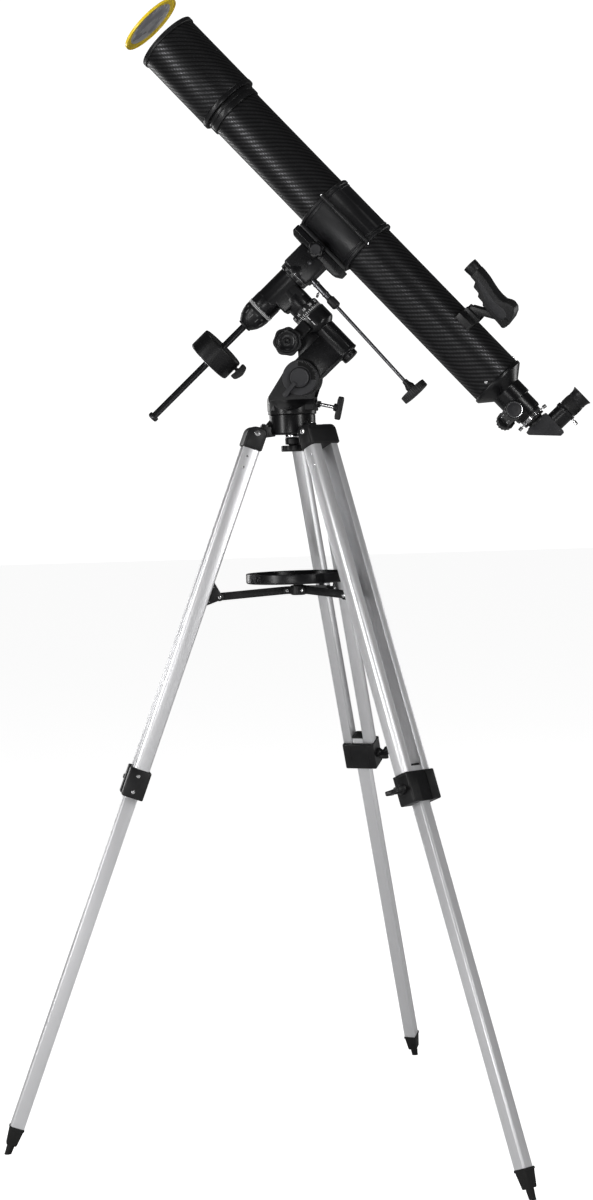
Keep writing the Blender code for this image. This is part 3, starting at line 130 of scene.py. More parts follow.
lamps = [
    {"name": "leftBank", "place": (-3.6, -3.6, 1.6), "aim": (0, 0, 1.1), "size": (0.5, 3.2), "power": 120},
    {"name": "rightBank", "place": (3.6, -3.4, 2.2), "aim": (0, 0, 1.1), "size": (0.4, 3.0), "power": 90},
    {"name": "lowBank", "place": (-0.8, -6.5, 0.5), "aim": (0, 0, 1.0), "size": (1.2, 1.0), "power": 45},
    {"name": "topBank", "place": (-0.6, -0.4, 4.6), "aim": (0, 0, 1.0), "size": (0.8, 0.8), "power": 14},
    {"name": "backBank", "place": (-3.0, 3.0, 1.6), "aim": (0, 0, 1.2), "size": (0.8, 2.2), "power": 28},
    {"name": "backFill", "place": (3.4, 2.6, 1.4), "aim": (0, 0, 1.2), "size": (0.8, 2.2), "power": 28},
]


def makeLights():
    sky = bpy.data.worlds.new("paleRoom")
    bpy.context.scene.world = sky
    sky.use_nodes = True
    tree = sky.node_tree
    backdrop = tree.nodes["Background"]
    backdrop.inputs["Color"].default_value = (1, 1, 1, 1)
    seen = addNode(tree, "ShaderNodeLightPath").outputs["Is Camera Ray"]  # white behind, dim as a fill light
    tree.links.new(rangeOf(tree, seen, 0, 1, studio["fill"], studio["seen"]), backdrop.inputs["Strength"])
    for lamp in lamps:
        softLight(**lamp)


# Shared node groups

def newGroup(name, inputs, outputs):
    group = bpy.data.node_groups.new(name, "ShaderNodeTree")
    for label, kind, value in inputs:
        socket = group.interface.new_socket(name=label, in_out="INPUT", socket_type=kind)
        if value is not None:
            socket.default_value = value
    for label, kind in outputs:
        group.interface.new_socket(name=label, in_out="OUTPUT", socket_type=kind)
    return group, group.nodes.new("NodeGroupInput"), group.nodes.new("NodeGroupOutput")


def addNode(tree, kind, links=(), **settings):
    node = tree.nodes.new(kind)
    for key, value in settings.items():
        setattr(node, key, value)
    for socket, value in links:
        if isinstance(value, bpy.types.NodeSocket):
            tree.links.new(value, node.inputs[socket])
        else:
            node.inputs[socket].default_value = value
    return node


def maths(tree, operation, first, second=None):
    links = [(i, v) for i, v in enumerate((first, second)) if v is not None]
    return addNode(tree, "ShaderNodeMath", links, operation=operation).outputs[0]


def noise(tree, vector, scale, detail=3.0, roughness=0.55):
    return addNode(tree, "ShaderNodeTexNoise", [
        ("Vector", vector), ("Scale", scale), ("Detail", detail), ("Roughness", roughness)]).outputs["Fac"]


def rangeOf(tree, value, low, high, toLow=0.0, toHigh=1.0):
    return addNode(tree, "ShaderNodeMapRange", [
        ("Value", value), ("From Min", low), ("From Max", high), ("To Min", toLow), ("To Max", toHigh)],
        clamp=True).outputs["Result"]


def grainGroup():  # fine cast or moulded grain, with broad uneven sheen, faint dust, and convex edges marked for a lighter colour: rubbed wear and a painted edge highlight
    group, start, end = newGroup("mouldedGrain", [
        ("Vector", "NodeSocketVector", None), ("Grain Scale", "NodeSocketFloat", 900.0),
        ("Patch Scale", "NodeSocketFloat", 14.0), ("Edge", "NodeSocketFloat", 0.5)],
        [("Grain", "NodeSocketFloat"), ("Patch", "NodeSocketFloat"), ("Dust", "NodeSocketFloat"),
         ("RubAndEdgeHighlight", "NodeSocketFloat")])
    vector = start.outputs["Vector"]
    fine = noise(group, vector, start.outputs["Grain Scale"], 2.0)
    broad = noise(group, vector, start.outputs["Patch Scale"], 4.0)
    specks = noise(group, vector, 420.0, 3.0, 0.7)
    group.links.new(fine, end.inputs["Grain"])
    group.links.new(rangeOf(group, broad, 0.3, 0.7), end.inputs["Patch"])
    group.links.new(rangeOf(group, specks, 0.66, 0.8), end.inputs["Dust"])
    # convex edges (high pointiness) get the lighter edge colour: partly rubbed wear, partly a painted
    # highlight along the bevels
    rubbedAndHighlitEdge = rangeOf(group, start.outputs["Edge"], 0.52, 0.62)
    group.links.new(maths(group, "MULTIPLY", rubbedAndHighlitEdge, rangeOf(group, broad, 0.35, 0.6)), end.inputs["RubAndEdgeHighlight"])
    return group


def drawnGroup():  # lines left along a drawn or turned bar
    group, start, end = newGroup("drawnLines", [
        ("Vector", "NodeSocketVector", None), ("Line Scale", "NodeSocketFloat", 700.0),
        ("Stretch", "NodeSocketFloat", 0.01)], [("Lines", "NodeSocketFloat"), ("Bands", "NodeSocketFloat")])
    apart = addNode(group, "ShaderNodeSeparateXYZ", [("Vector", start.outputs["Vector"])])
    slow = maths(group, "MULTIPLY", apart.outputs["Z"], start.outputs["Stretch"])
    along = addNode(group, "ShaderNodeCombineXYZ", [
        ("X", apart.outputs["X"]), ("Y", apart.outputs["Y"]), ("Z", slow)]).outputs[0]
    group.links.new(noise(group, along, start.outputs["Line Scale"], 2.0), end.inputs["Lines"])
    group.links.new(noise(group, along, 60.0, 3.0), end.inputs["Bands"])
    return group


def twillGroup():  # slanting bands of short dashes round a tube; the bands close round it
    group, start, end = newGroup("twillWeave", [
        ("Vector", "NodeSocketVector", None), ("Band Pitch", "NodeSocketFloat", 0.0075),
        ("Bands Round", "NodeSocketFloat", 28.0), ("Threads Round", "NodeSocketFloat", 84.0)],
        [("Height", "NodeSocketFloat")])
    apart = addNode(group, "ShaderNodeSeparateXYZ", [("Vector", start.outputs["Vector"])])
    side = maths(group, "MULTIPLY", apart.outputs["Y"], -1.0)
    turn = maths(group, "DIVIDE", maths(group, "ARCTAN2", apart.outputs["X"], side), 2 * pi)
    along = maths(group, "DIVIDE", apart.outputs["Z"], start.outputs["Band Pitch"])
    phase = maths(group, "ADD", maths(group, "MULTIPLY", along, 0.7408),
                  maths(group, "MULTIPLY", turn, start.outputs["Bands Round"]))
    wobble = maths(group, "MULTIPLY", noise(group, start.outputs["Vector"], 60.0, 2.0), 0.12)
    band = maths(group, "SINE", maths(group, "MULTIPLY", maths(group, "ADD", phase, wobble), 2 * pi))
    dashes = maths(group, "SINE", maths(group, "MULTIPLY",
                   maths(group, "MULTIPLY", turn, start.outputs["Threads Round"]), 2 * pi))
    bandMask = rangeOf(group, band, -0.5, 0.75)
    threadMask = rangeOf(group, dashes, -1.0, 0.6, 0.55, 1.0)
    group.links.new(maths(group, "MULTIPLY", bandMask, threadMask), end.inputs["Height"])
    return group


def ringGroup():  # fine turned rings round an axis
    group, start, end = newGroup("turnedRings", [
        ("Vector", "NodeSocketVector", None), ("Ring Pitch", "NodeSocketFloat", 0.0006)],
        [("Rings", "NodeSocketFloat")])
    apart = addNode(group, "ShaderNodeSeparateXYZ", [("Vector", start.outputs["Vector"])])
    squares = maths(group, "ADD", maths(group, "MULTIPLY", apart.outputs["X"], apart.outputs["X"]),
                    maths(group, "MULTIPLY", apart.outputs["Y"], apart.outputs["Y"]))
    reach = maths(group, "DIVIDE", maths(group, "SQRT", squares), start.outputs["Ring Pitch"])
    wave = maths(group, "SINE", maths(group, "MULTIPLY", reach, 2 * pi))
    group.links.new(rangeOf(group, wave, -1.0, 1.0), end.inputs["Rings"])
    return group


groups = {"grain": grainGroup(), "drawn": drawnGroup(), "twill": twillGroup(), "rings": ringGroup()}


# Finishes

def newFinish(name, **plain):
    material = bpy.data.materials.new(name)
    material.use_nodes = True
    tree = material.node_tree
    shader = tree.nodes["Principled BSDF"]
    for socket, value in plain.items():
        shader.inputs[socket.replace("_", " ")].default_value = value
    finishes[name] = material
    return tree, shader


def feed(tree, shader, **wires):  # links each output to the shader's socket of that name
    for socket, output in wires.items():
        tree.links.new(output, shader.inputs[socket.replace("_", " ")])


def patternPoint(tree, place=None):  # object coordinates, turned into a piece's own frame
    point = addNode(tree, "ShaderNodeTexCoord").outputs["Object"]
    if place is None:
        return point
    back = place.inverted()
    return addNode(tree, "ShaderNodeMapping", [("Vector", point), ("Location", back.to_translation()),
                                               ("Rotation", back.to_euler("XYZ"))]).outputs[0]


def useGroup(tree, name, point, **values):
    node = addNode(tree, "ShaderNodeGroup", node_tree=groups[name])
    tree.links.new(point, node.inputs["Vector"])
    for socket, value in values.items():
        if isinstance(value, bpy.types.NodeSocket):
            tree.links.new(value, node.inputs[socket.replace("_", " ")])
        else:
            node.inputs[socket.replace("_", " ")].default_value = value
    return node


def blendColour(tree, mask, first, second):
    links = [(0, mask)]
    for socket, colour in ((6, first), (7, second)):
        links.append((socket, colour if isinstance(colour, bpy.types.NodeSocket) else (*colour, 1)))
    return addNode(tree, "ShaderNodeMix", links, data_type="RGBA").outputs[2]


def bumpFrom(tree, shader, height, strength, distance):
    bump = addNode(tree, "ShaderNodeBump", [
        ("Height", height), ("Strength", strength), ("Distance", distance)])
    feed(tree, shader, Normal=bump.outputs["Normal"])


def grainedFinish(name, base, rubbedAndHighlitEdge, rough, grain, depth, **plain):
    tree, shader = newFinish(name, **{"Specular_IOR_Level": 0.28, **plain})
    edge = addNode(tree, "ShaderNodeNewGeometry").outputs["Pointiness"]
    marks = useGroup(tree, "grain", patternPoint(tree), Grain_Scale=grain, Edge=edge)
    tone = blendColour(tree, marks.outputs["Patch"], base, [c * 1.35 for c in base])
    dusty = blendColour(tree, maths(tree, "MULTIPLY", marks.outputs["Dust"], 0.10), tone, (0.2, 0.2, 0.2))
    # convex edges lightened: rubbed wear together with a painted edge highlight
    wornAndHighlit = blendColour(tree, maths(tree, "MULTIPLY", marks.outputs["RubAndEdgeHighlight"], 0.6), dusty, rubbedAndHighlitEdge)
    feed(tree, shader, Base_Color=wornAndHighlit, Roughness=rangeOf(tree, marks.outputs["Patch"], 0, 1, *rough))
    bumpFrom(tree, shader, marks.outputs["Grain"], 0.35, depth)


def metalFinish(name, base, rough, place=None, lines=700.0, **plain):
    tree, shader = newFinish(name, **plain)
    marks = useGroup(tree, "drawn", patternPoint(tree, place), Line_Scale=lines)
    tone = blendColour(tree, marks.outputs["Bands"], [c * 0.9 for c in base], base)
    feed(tree, shader, Base_Color=tone, Roughness=rangeOf(tree, marks.outputs["Lines"], 0.3, 0.7, *rough))
    bumpFrom(tree, shader, marks.outputs["Lines"], 0.25, 0.00008)


def weaveFinish(name, pitch, bandsRound, threadsRound):  # bright threads show only where the light is
    tree, shader = newFinish(name, Specular_IOR_Level=0.15)
    weave = useGroup(tree, "twill", patternPoint(tree, tubePlace), Band_Pitch=pitch, Bands_Round=bandsRound,
                     Threads_Round=threadsRound)
    marks = useGroup(tree, "grain", patternPoint(tree), Grain_Scale=800.0)
    dark = blendColour(tree, marks.outputs["Patch"], (0.0030, 0.0030, 0.0034), (0.0045, 0.0045, 0.005))
    thread = weave.outputs["Height"]
    feed(tree, shader, Base_Color=blendColour(tree, thread, dark, (0.048, 0.048, 0.050)),
         Metallic=rangeOf(tree, thread, 0, 1, 0.0, 0.93), Roughness=rangeOf(tree, thread, 0, 1, 0.44, 0.32))
    bumpFrom(tree, shader, thread, 0.4, 0.0003)


finishes = {}
grained = [  # name, colour, colour at rubbed edges (wear and a painted edge highlight), roughness from and to, grain scale, grain depth
    ("enamel", (0.0050, 0.0050, 0.0056), (0.05, 0.05, 0.05), (0.24, 0.32), 1300.0, 0.00012),
    ("satinBlack", (0.0070, 0.0070, 0.0076), (0.05, 0.05, 0.05), (0.36, 0.46), 900.0, 0.0002),
    ("cradlePaint", (0.0065, 0.0065, 0.0074), (0.06, 0.06, 0.06), (0.34, 0.44), 1100.0, 0.0002),
    ("dialGrey", (0.022, 0.022, 0.024), (0.09, 0.09, 0.09), (0.42, 0.52), 1400.0, 0.00022),
    ("diagonalGrey", (0.018, 0.018, 0.020), (0.07, 0.07, 0.07), (0.45, 0.55), 1600.0, 0.0002),
    ("rubber", (0.006, 0.006, 0.006), (0.02, 0.02, 0.02), (0.62, 0.74), 700.0, 0.0003),
    ("weightIron", (0.0045, 0.0045, 0.005), (0.06, 0.06, 0.06), (0.36, 0.44), 900.0, 0.0002),
    ("innerBlack", (0.003, 0.003, 0.003), (0.006, 0.006, 0.006), (0.8, 0.9), 500.0, 0.0003),
    ("whitePrint", (0.78, 0.78, 0.78), (0.6, 0.6, 0.6), (0.5, 0.6), 900.0, 0.00005),
    ("greyPrint", (0.16, 0.16, 0.16), (0.25, 0.25, 0.25), (0.45, 0.55), 900.0, 0.00005),
]


def makeFinishes():
    for name, base, rubbedAndHighlitEdge, rough, grain, depth in grained:
        grainedFinish(name, base, rubbedAndHighlitEdge, rough, grain, depth)
    grainedFinish("filterYellow", (0.83, 0.60, 0.02), (0.95, 0.82, 0.30), (0.24, 0.34), 600.0, 0.00006,
                  Coat_Weight=0.3, Coat_Roughness=0.15)
    metalFinish("brightSteel", (0.78, 0.78, 0.79), (0.14, 0.24), Metallic=1.0)
    metalFinish("blackSteel", (0.050, 0.050, 0.053), (0.22, 0.30), decPlace, Metallic=0.85)
    metalFinish("rodSteel", (0.16, 0.16, 0.17), (0.24, 0.32), polarPlace, Metallic=1.0)
    for n in "123":
        metalFinish("legAluminium" + n, (0.80, 0.80, 0.815), (0.30, 0.42), legPlace(n), 900.0, Metallic=0.55)
    weaveFinish("weaveTube", 0.0075, 28.0, 70.0)
    weaveFinish("weaveShield", 0.0075, 32.0, 80.0)
    tree, shader = newFinish("machinedFace", Metallic=0.9)
    cut = useGroup(tree, "rings", patternPoint(tree, decPlace), Ring_Pitch=0.0009)
    feed(tree, shader, Base_Color=blendColour(tree, cut.outputs["Rings"], (0.42, 0.42, 0.43),
                                              (0.6, 0.6, 0.61)),
         Roughness=rangeOf(tree, cut.outputs["Rings"], 0, 1, 0.25, 0.4))
    bumpFrom(tree, shader, cut.outputs["Rings"], 0.2, 0.0001)
    tree, shader = newFinish("lensGlass", Roughness=0.02, IOR=1.52, Transmission_Weight=0.9,
                             Coat_Weight=0.6, Coat_Tint=(0.55, 0.8, 0.62, 1))
    marks = useGroup(tree, "grain", patternPoint(tree), Grain_Scale=300.0)
    feed(tree, shader, Base_Color=blendColour(tree, marks.outputs["Patch"], (0.80, 0.90, 0.86),
                                              (0.86, 0.94, 0.92)))
    tree, shader = newFinish("filterFilm", Metallic=0.3)
    folds = noise(tree, patternPoint(tree, tubePlace), 26.0, 2.0)
    # the film's colour runs from dark grey to near white across the folds: a painted reflection on the
    # crinkled foil
    foldReflectionTone = blendColour(tree, rangeOf(tree, folds, 0.35, 0.65), (0.42, 0.42, 0.46), (0.86, 0.86, 0.88))
    feed(tree, shader, Base_Color=foldReflectionTone, Roughness=rangeOf(tree, folds, 0.3, 0.7, 0.22, 0.34))
    bumpFrom(tree, shader, folds, 0.3, 0.003)
    tree, shader = newFinish("paper", Roughness=0.85)
    spots = noise(tree, patternPoint(tree), 1.2, 2.0)
    seen = addNode(tree, "ShaderNodeLightPath").outputs["Is Camera Ray"]
    feed(tree, shader, Base_Color=blendColour(tree, spots, studio["paper"],
                                              [c * 0.985 for c in studio["paper"]]),
         Emission_Color=blendColour(tree, seen, (0, 0, 0), (1, 1, 1)))
    shader.inputs["Emission Strength"].default_value = studio["floorGlow"]


# Shaping tools

def leaveSelection():
    if bpy.context.mode != "OBJECT":
        bpy.ops.object.mode_set(mode="OBJECT")
    bpy.ops.object.select_all(action="DESELECT")


def takeUp(*pieces):
    leaveSelection()
    for piece in pieces:
        piece.select_set(True)
    bpy.context.view_layer.objects.active = pieces[0]
    return pieces[0]


def applyModifier(piece, kind, **settings):
    takeUp(piece)
    bpy.ops.object.modifier_add(type=kind)
    modifier = piece.modifiers[-1]
    for key, value in settings.items():
        setattr(modifier, key, value)
    bpy.ops.object.modifier_apply(modifier=modifier.name)


def bevelled(piece, width, segments):
    applyModifier(piece, "BEVEL", width=width, segments=segments, limit_method="ANGLE",
                  angle_limit=radians(32))


def eased(profile, cut, closed=False):  # a profile with its corners rounded
    points = [Vector(p) for p in profile]
    count, out = len(points), []
    for i, here in enumerate(points):
        ends = not closed and i in (0, count - 1)
        before, after = points[i - 1], points[(i + 1) % count]
        if ends or here.x < 1e-6 or cut <= 0:
            out.append(tuple(here))
            continue
        back, on = before - here, after - here
        reach = min(cut, back.length * 0.42, on.length * 0.42)
        first, last = here + back.normalized() * reach, here + on.normalized() * reach
        middle = (first + last) / 4 + here / 2
        out += [tuple(first), tuple(middle), tuple(last)]
    return out


def spun(profile, steps=64, ease=0.0006, ring=False):  # a turned shape round Z
    profile = eased(profile, ease, ring)
    leaveSelection()
    bpy.ops.mesh.primitive_circle_add(vertices=len(profile), radius=0.01)
    piece = bpy.context.object
    for vertex, (reach, height) in zip(piece.data.vertices, profile):
        vertex.co = (reach, 0, height)
    bpy.ops.object.mode_set(mode="EDIT")
    bpy.ops.mesh.select_all(action="SELECT")
    bpy.ops.mesh.spin(steps=steps, angle=2 * pi, center=(0, 0, 0), axis=(0, 0, 1))
    bpy.ops.mesh.select_all(action="SELECT")
    bpy.ops.mesh.remove_doubles(threshold=2e-6)
    bpy.ops.mesh.dissolve_degenerate(threshold=1e-6)
    bpy.ops.mesh.delete_loose()
    bpy.ops.mesh.select_all(action="SELECT")
    bpy.ops.mesh.normals_make_consistent(inside=False)
    bpy.ops.object.mode_set(mode="OBJECT")
    return piece


def slab(outline, low, high, ease=0.0006, plane="XZ", segments=2):  # an outline given a thickness
    leaveSelection()
    bpy.ops.mesh.primitive_circle_add(vertices=len(outline), radius=0.01, fill_type="NGON")
    piece = bpy.context.object
    for vertex, (a, b) in zip(piece.data.vertices, outline):
        vertex.co = (a, low, b) if plane == "XZ" else (a, b, low)
    push = (0, high - low, 0) if plane == "XZ" else (0, 0, high - low)
    bpy.ops.object.mode_set(mode="EDIT")
    bpy.ops.mesh.select_all(action="SELECT")
    bpy.ops.mesh.extrude_region_move(TRANSFORM_OT_translate={"value": push})
    bpy.ops.mesh.select_all(action="SELECT")
    bpy.ops.mesh.normals_make_consistent(inside=False)
    bpy.ops.object.mode_set(mode="OBJECT")
    if ease:
        bevelled(piece, ease, segments)
    return piece


def brick(low, high, ease=0.001, segments=2):
    low, high = Vector(low), Vector(high)
    leaveSelection()
    bpy.ops.mesh.primitive_cube_add(size=1)
    piece = bpy.context.object
    piece.data.transform(shifted(*(low + high) / 2) @ Matrix.Diagonal((*(high - low), 1)))
    bevelled(piece, ease, segments)
    return piece


def moved(piece, place):
    piece.data.transform(place)
    return piece


def stick(start, end, radius, steps=32, ease=0.0004):  # a round bar between two points
    start, end = Vector(start), Vector(end)
    line = end - start
    side = (1, 0, 0) if abs(line.normalized().x) < 0.9 else (0, 1, 0)
    return moved(spun([(0, 0), (radius, 0), (radius, line.length), (0, line.length)], steps, ease),
                 placeAt(start, line, side))


def arcPoints(centre, radius, start, end, count):
    turns = [radians(start + (end - start) * i / count) for i in range(count + 1)]
    return [(centre[0] + radius * cos(t), centre[1] + radius * sin(t)) for t in turns]


def lobes(radius, depth, count, each=8):  # outline of a hand knob
    out = []
    for i in range(count * each):
        t = 2 * pi * i / (count * each)
        reach = radius - depth * (1 - cos(count * t)) / 2
        out.append((reach * cos(t), reach * sin(t)))
    return out


def carve(piece, *tools):
    for tool in tools:
        applyModifier(piece, "BOOLEAN", operation="DIFFERENCE", object=tool, solver="EXACT")
        bpy.data.objects.remove(tool)
    return piece


def keepInside(piece, tool):
    applyModifier(piece, "BOOLEAN", operation="INTERSECT", object=tool, solver="EXACT")
    bpy.data.objects.remove(tool)
    return piece


def settle(name, shapes, place, finish, body, stands=(), smooth=32):
    piece = takeUp(*shapes)
    if len(shapes) > 1:
        bpy.ops.object.join()
    piece.name = name
    piece.data.transform(place)
    if place.determinant() < 0:
        piece.data.flip_normals()
    piece.data.materials.clear()
    piece.data.materials.append(finishes[finish])
    takeUp(piece)
    bpy.ops.object.shade_smooth_by_angle(angle=radians(smooth))
    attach(piece, body)
    if stands:
        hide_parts(*stands)
    return piece


def screwHead(place, radius, height, style="cross"):  # a small domed screw; a rivet is plain
    head = spun([(0, height), (radius * 0.55, height * 0.92), (radius * 0.9, height * 0.5), (radius, 0),
                 (radius, -height), (0, -height)], 24, 0.0001)
    if style == "cross":
        for turn in (0, pi / 2):
            bar = brick((-radius * 0.55, -radius * 0.14, height * 0.35),
                        (radius * 0.55, radius * 0.14, height * 2), 0.00002, 1)
            carve(head, moved(bar, turned(turn)))
    elif style == "hex":
        carve(head, slab(lobes(radius * 0.5, 0, 6, 1), height * 0.3, height * 2, 0, "XY"))
    return moved(head, place)


def wrapped(text, size, reach, turn, height, lift=0.0002):  # a number bent round a drum
    leaveSelection()
    bpy.ops.object.text_add()
    label = bpy.context.object
    label.data.body = text
    label.data.size = size
    label.data.align_x = "CENTER"
    label.data.align_y = "CENTER"
    label.data.extrude = lift
    bpy.ops.object.convert(target="MESH")
    label = bpy.context.object
    for vertex in label.data.vertices:
        a, b, c = vertex.co
        angle = turn + a / reach
        out = reach + c
        vertex.co = (out * cos(angle), out * sin(angle), height + b)
    return label


def ticks(reach, low, high, count, width=0.0004, proud=0.0002, start=0.0, longer=0, extra=0.0):
    out = []
    for i in range(count):
        top = high + (extra if longer and i % longer == 0 else 0)
        mark = brick((reach - 0.0004, -width / 2, low), (reach + proud, width / 2, top), 0.00005, 1)
        out.append(moved(mark, turned(start + 2 * pi * i / count)))
    return out


def hipAndOut(n):  # the hip on the stand, and the way out to it
    hip = jointPoint(f"leg_{n}_fold") - standPlace.to_translation()
    return hip, Vector((hip.x, hip.y, 0)).normalized()


def legPlace(n):  # the hip: Z up along the leg, X outwards
    up = jointLine(f"lower_leg_{n}_slide")
    side = jointLine(f"leg_{n}_fold")
    return placeAt(jointPoint(f"leg_{n}_fold"), up, side.cross(up))


makeCamera()
bpy.context.scene.view_settings.view_transform = "Standard"
makeFinishes()
makeStudio()
makeLights()
print("studio ready")


# Optical tube

tube = {"radius": 0.050, "wall": 0.0015, "front": 0.284, "rear": -0.393}


def makeTube():
    r, wall = tube["radius"], tube["wall"]
    shell = spun([(r, tube["front"]), (r, tube["rear"]), (r - wall, tube["rear"]),
                  (r - wall, tube["front"])], 128, 0.0002, True)
    settle("tubeShell", [shell], tubePlace, "weaveTube", "tube", ["main_tube"])
    out = placeAt((-0.0150, -0.0476, -0.385), (-0.30, -0.954, 0), (0, 0, 1))
    far = placeAt((-0.0150, 0.0476, -0.385), (-0.30, 0.954, 0), (0, 0, 1))
    top = outward((0.0498, 0, -0.385))
    settle("tubeScrews", [screwHead(p, 0.0034, 0.0016) for p in (out, far, top)], tubePlace,
           "brightSteel", "tube")


shield = {"radius": 0.0575, "wall": 0.0018, "lip": 0.0595, "rear": 0.3046, "front": 0.4706, "band": 0.008}


def makeDewShield():
    r, rear, front = shield["radius"], shield["rear"], shield["front"]
    inner = r - shield["wall"]
    body = spun([(r, front - 0.006), (r, rear + 0.007), (inner, rear + 0.007), (inner, front - 0.006)],
                128, 0.0002, True)
    settle("dewShieldBody", [body], tubePlace, "weaveShield", "tube", ["dew_shield"])
    lip = spun([(inner, front), (shield["lip"], front), (shield["lip"], front - 0.0028),
                (shield["lip"] - 0.0007, front - 0.0034), (shield["lip"], front - 0.0040),
                (shield["lip"], front - shield["band"]), (r - 0.0003, front - shield["band"] - 0.001),
                (inner, front - shield["band"])], 128, 0.0009, True)
    settle("dewShieldLip", [lip], tubePlace, "satinBlack", "tube")
    bead = spun([(r + 0.001, rear + 0.008), (r + 0.001, rear), (0.0503, rear), (0.0503, rear + 0.005),
                 (inner, rear + 0.006), (inner, rear + 0.009), (r - 0.0003, rear + 0.009)], 128, 0.0008,
                True)
    settle("dewShieldBead", [bead], tubePlace, "enamel", "tube")
    lining = spun([(inner + 0.0002, front - 0.004), (inner + 0.0002, rear + 0.006),
                   (inner - 0.0001, rear + 0.006), (inner - 0.0001, front - 0.004)], 96, 0, True)
    settle("dewShieldLining", [lining], tubePlace, "innerBlack", "tube")


cell = {"front": 0.3043, "collar": 0.010, "lens": 0.0455, "seat": 0.288}


def makeLensCell():
    r, front = tube["radius"], cell["front"]
    ring = spun([(cell["lens"] + 0.0003, front + cell["collar"]), (r, front + cell["collar"]), (r, front),
                 (r + 0.0025, front), (r + 0.0025, 0.2965), (r + 0.0019, 0.2960), (r + 0.0025, 0.2955),
                 (r + 0.0025, 0.2843), (0.0482, 0.2843), (0.0482, 0.264), (0.0425, 0.264),
                 (0.0425, cell["seat"]), (cell["lens"] + 0.0003, cell["seat"])], 128, 0.0006, True)
    settle("lensCell", [ring], tubePlace, "enamel", "tube", ["lens_cell"])
    back = cell["seat"] + 0.0003
    face = [(cell["lens"] * i / 9, back + 0.011 + 0.0035 * (1 - (i / 9) ** 2)) for i in range(9)]
    lens = spun([*face, (cell["lens"], back + 0.011), (cell["lens"], back), (0, back)], 96, 0)
    settle("objectiveLens", [lens], tubePlace, "lensGlass", "tube", ["objective_lens"], 50)


filterSizes = {"distance": 0.0425, "skirt": 0.002, "film": 0.0485}


def makeFilter():
    place = tubePlace @ shifted(0, 0, shield["front"] + filterSizes["distance"])
    skirt = shield["lip"] + 0.0003
    outer = skirt + 0.0018
    film = filterSizes["film"]
    ring = spun([(film - 0.0015, 0.0032), (film + 0.003, 0.0032), (film + 0.0045, 0.0026),
                 (outer - 0.003, 0.0026), (outer - 0.001, 0.0031), (outer, 0.0022),
                 (outer, -filterSizes["skirt"]), (skirt, -filterSizes["skirt"]), (skirt, 0),
                 (film + 0.0003, 0), (film + 0.0003, 0.002), (film - 0.0015, 0.002)], 128, 0.0007, True)
    settle("filterRing", [ring], place, "filterYellow", "filter", ["solar_filter_ring"])
    waves = [(film * i / 24, 0.0017 + 0.00022 * sin(i * 1.9)) for i in range(24)]
    disc = spun([*waves, (film, 0.0016), (film, 0.0005), (0, 0.0003)], 96, 0)
    settle("filterFoil", [disc], place, "filterFilm", "filter", ["solar_filter_film"], 60)


makeTube()
makeDewShield()
makeLensCell()
makeFilter()
print("tube, shield and filter made")


# Focuser, diagonal and eyepiece

focuser = {"flange": -0.3998, "cone": -0.4178, "collar": -0.4458, "rear": -0.4778, "bore": 0.0208,
           "drop": 0.0285, "pinion": -0.4558, "knob": 0.017}
focuserPlace = placeAt(tubePlace.to_translation(), pole, jointLine("focus_knob_turn").cross(pole))


def thumbScrew(base, direction, length, grip, thick=0.0022):
    place = placeAt(base, direction, (0.13, 0.2, 0.9))
    stem = moved(spun([(0, -0.004), (thick / 2, -0.004), (thick / 2, length * 0.45), (0, length * 0.45)], 20,
                      0.0001), place)
    head = moved(slab(lobes(grip, grip * 0.09, 14, 3), length * 0.4, length, 0.0002, "XY", 1), place)
    return [stem, head]


def makeFocuser():
    f, r = focuser, tube["radius"]
    body = spun([(f["bore"], -0.375), (0.0482, -0.375), (0.0482, -0.3933), (r + 0.002, -0.3933),
                 (r + 0.0026, -0.3955), (r + 0.002, f["flange"]), (0.0300, f["cone"]),
                 (0.0295, f["cone"] - 0.001), (0.0295, f["collar"]), (0.0288, f["collar"] - 0.0008),
                 (0.026, f["collar"] - 0.001), (0.026, f["rear"] + 0.003), (0.0252, f["rear"] + 0.0026),
                 (0.0252, f["rear"]), (f["bore"], f["rear"])], 128, 0.0006, True)
    settle("focuserBody", [body], tubePlace, "enamel", "tube", ["focuser_body"])
    block = brick((-f["drop"] - 0.009, -0.026, f["pinion"] - 0.012),
                  (-f["bore"] - 0.0012, 0.026, f["pinion"] + 0.014), 0.003, 3)
    cover = brick((-f["drop"] - 0.0098, -0.012, f["pinion"] - 0.009),
                  (-f["drop"] - 0.008, 0.012, f["pinion"] + 0.011), 0.0008)
    settle("pinionBlock", [block, cover], focuserPlace, "enamel", "tube")
    heads = [screwHead(placeAt((-f["drop"] - 0.0098, y, f["pinion"] + z), (-1, 0, 0), (0, 1, 0)), 0.0016,
                       0.0007) for y in (-0.008, 0.008) for z in (-0.006, 0.008)]
    settle("pinionScrews", heads, focuserPlace, "brightSteel", "tube")


def makeDrawtube():
    f = focuser
    holder = f["rear"] - 0.0003
    tubeBar = spun([(0.018, f["rear"] + 0.15), (0.0205, f["rear"] + 0.15), (0.0205, holder),
                    (0.0217, holder), (0.0217, holder - 0.0035), (0.0209, holder - 0.004),
                    (0.0209, holder - 0.011), (0.0217, holder - 0.0115), (0.0217, holder - 0.014),
                    (0.0158, holder - 0.014), (0.0158, holder + 0.006), (0.018, holder + 0.006)], 96, 0.0004,
                   True)
    settle("drawtubeBarrel", [tubeBar], tubePlace, "satinBlack", "draw", ["drawtube"])
    ribs = ticks(0.0209, holder - 0.0108, holder - 0.0044, 44, 0.0014, 0.0008)
    settle("holderKnurl", ribs, tubePlace, "brightSteel", "draw")
    screws = thumbScrew((0.0205, 0, holder - 0.0075), (1, 0, -0.15), 0.0125, 0.0034)
    screws += thumbScrew((-0.0205, -0.002, holder - 0.0075), (-1, -0.1, -0.12), 0.0125, 0.0034)
    settle("holderThumbscrews", screws, tubePlace, "brightSteel", "draw")


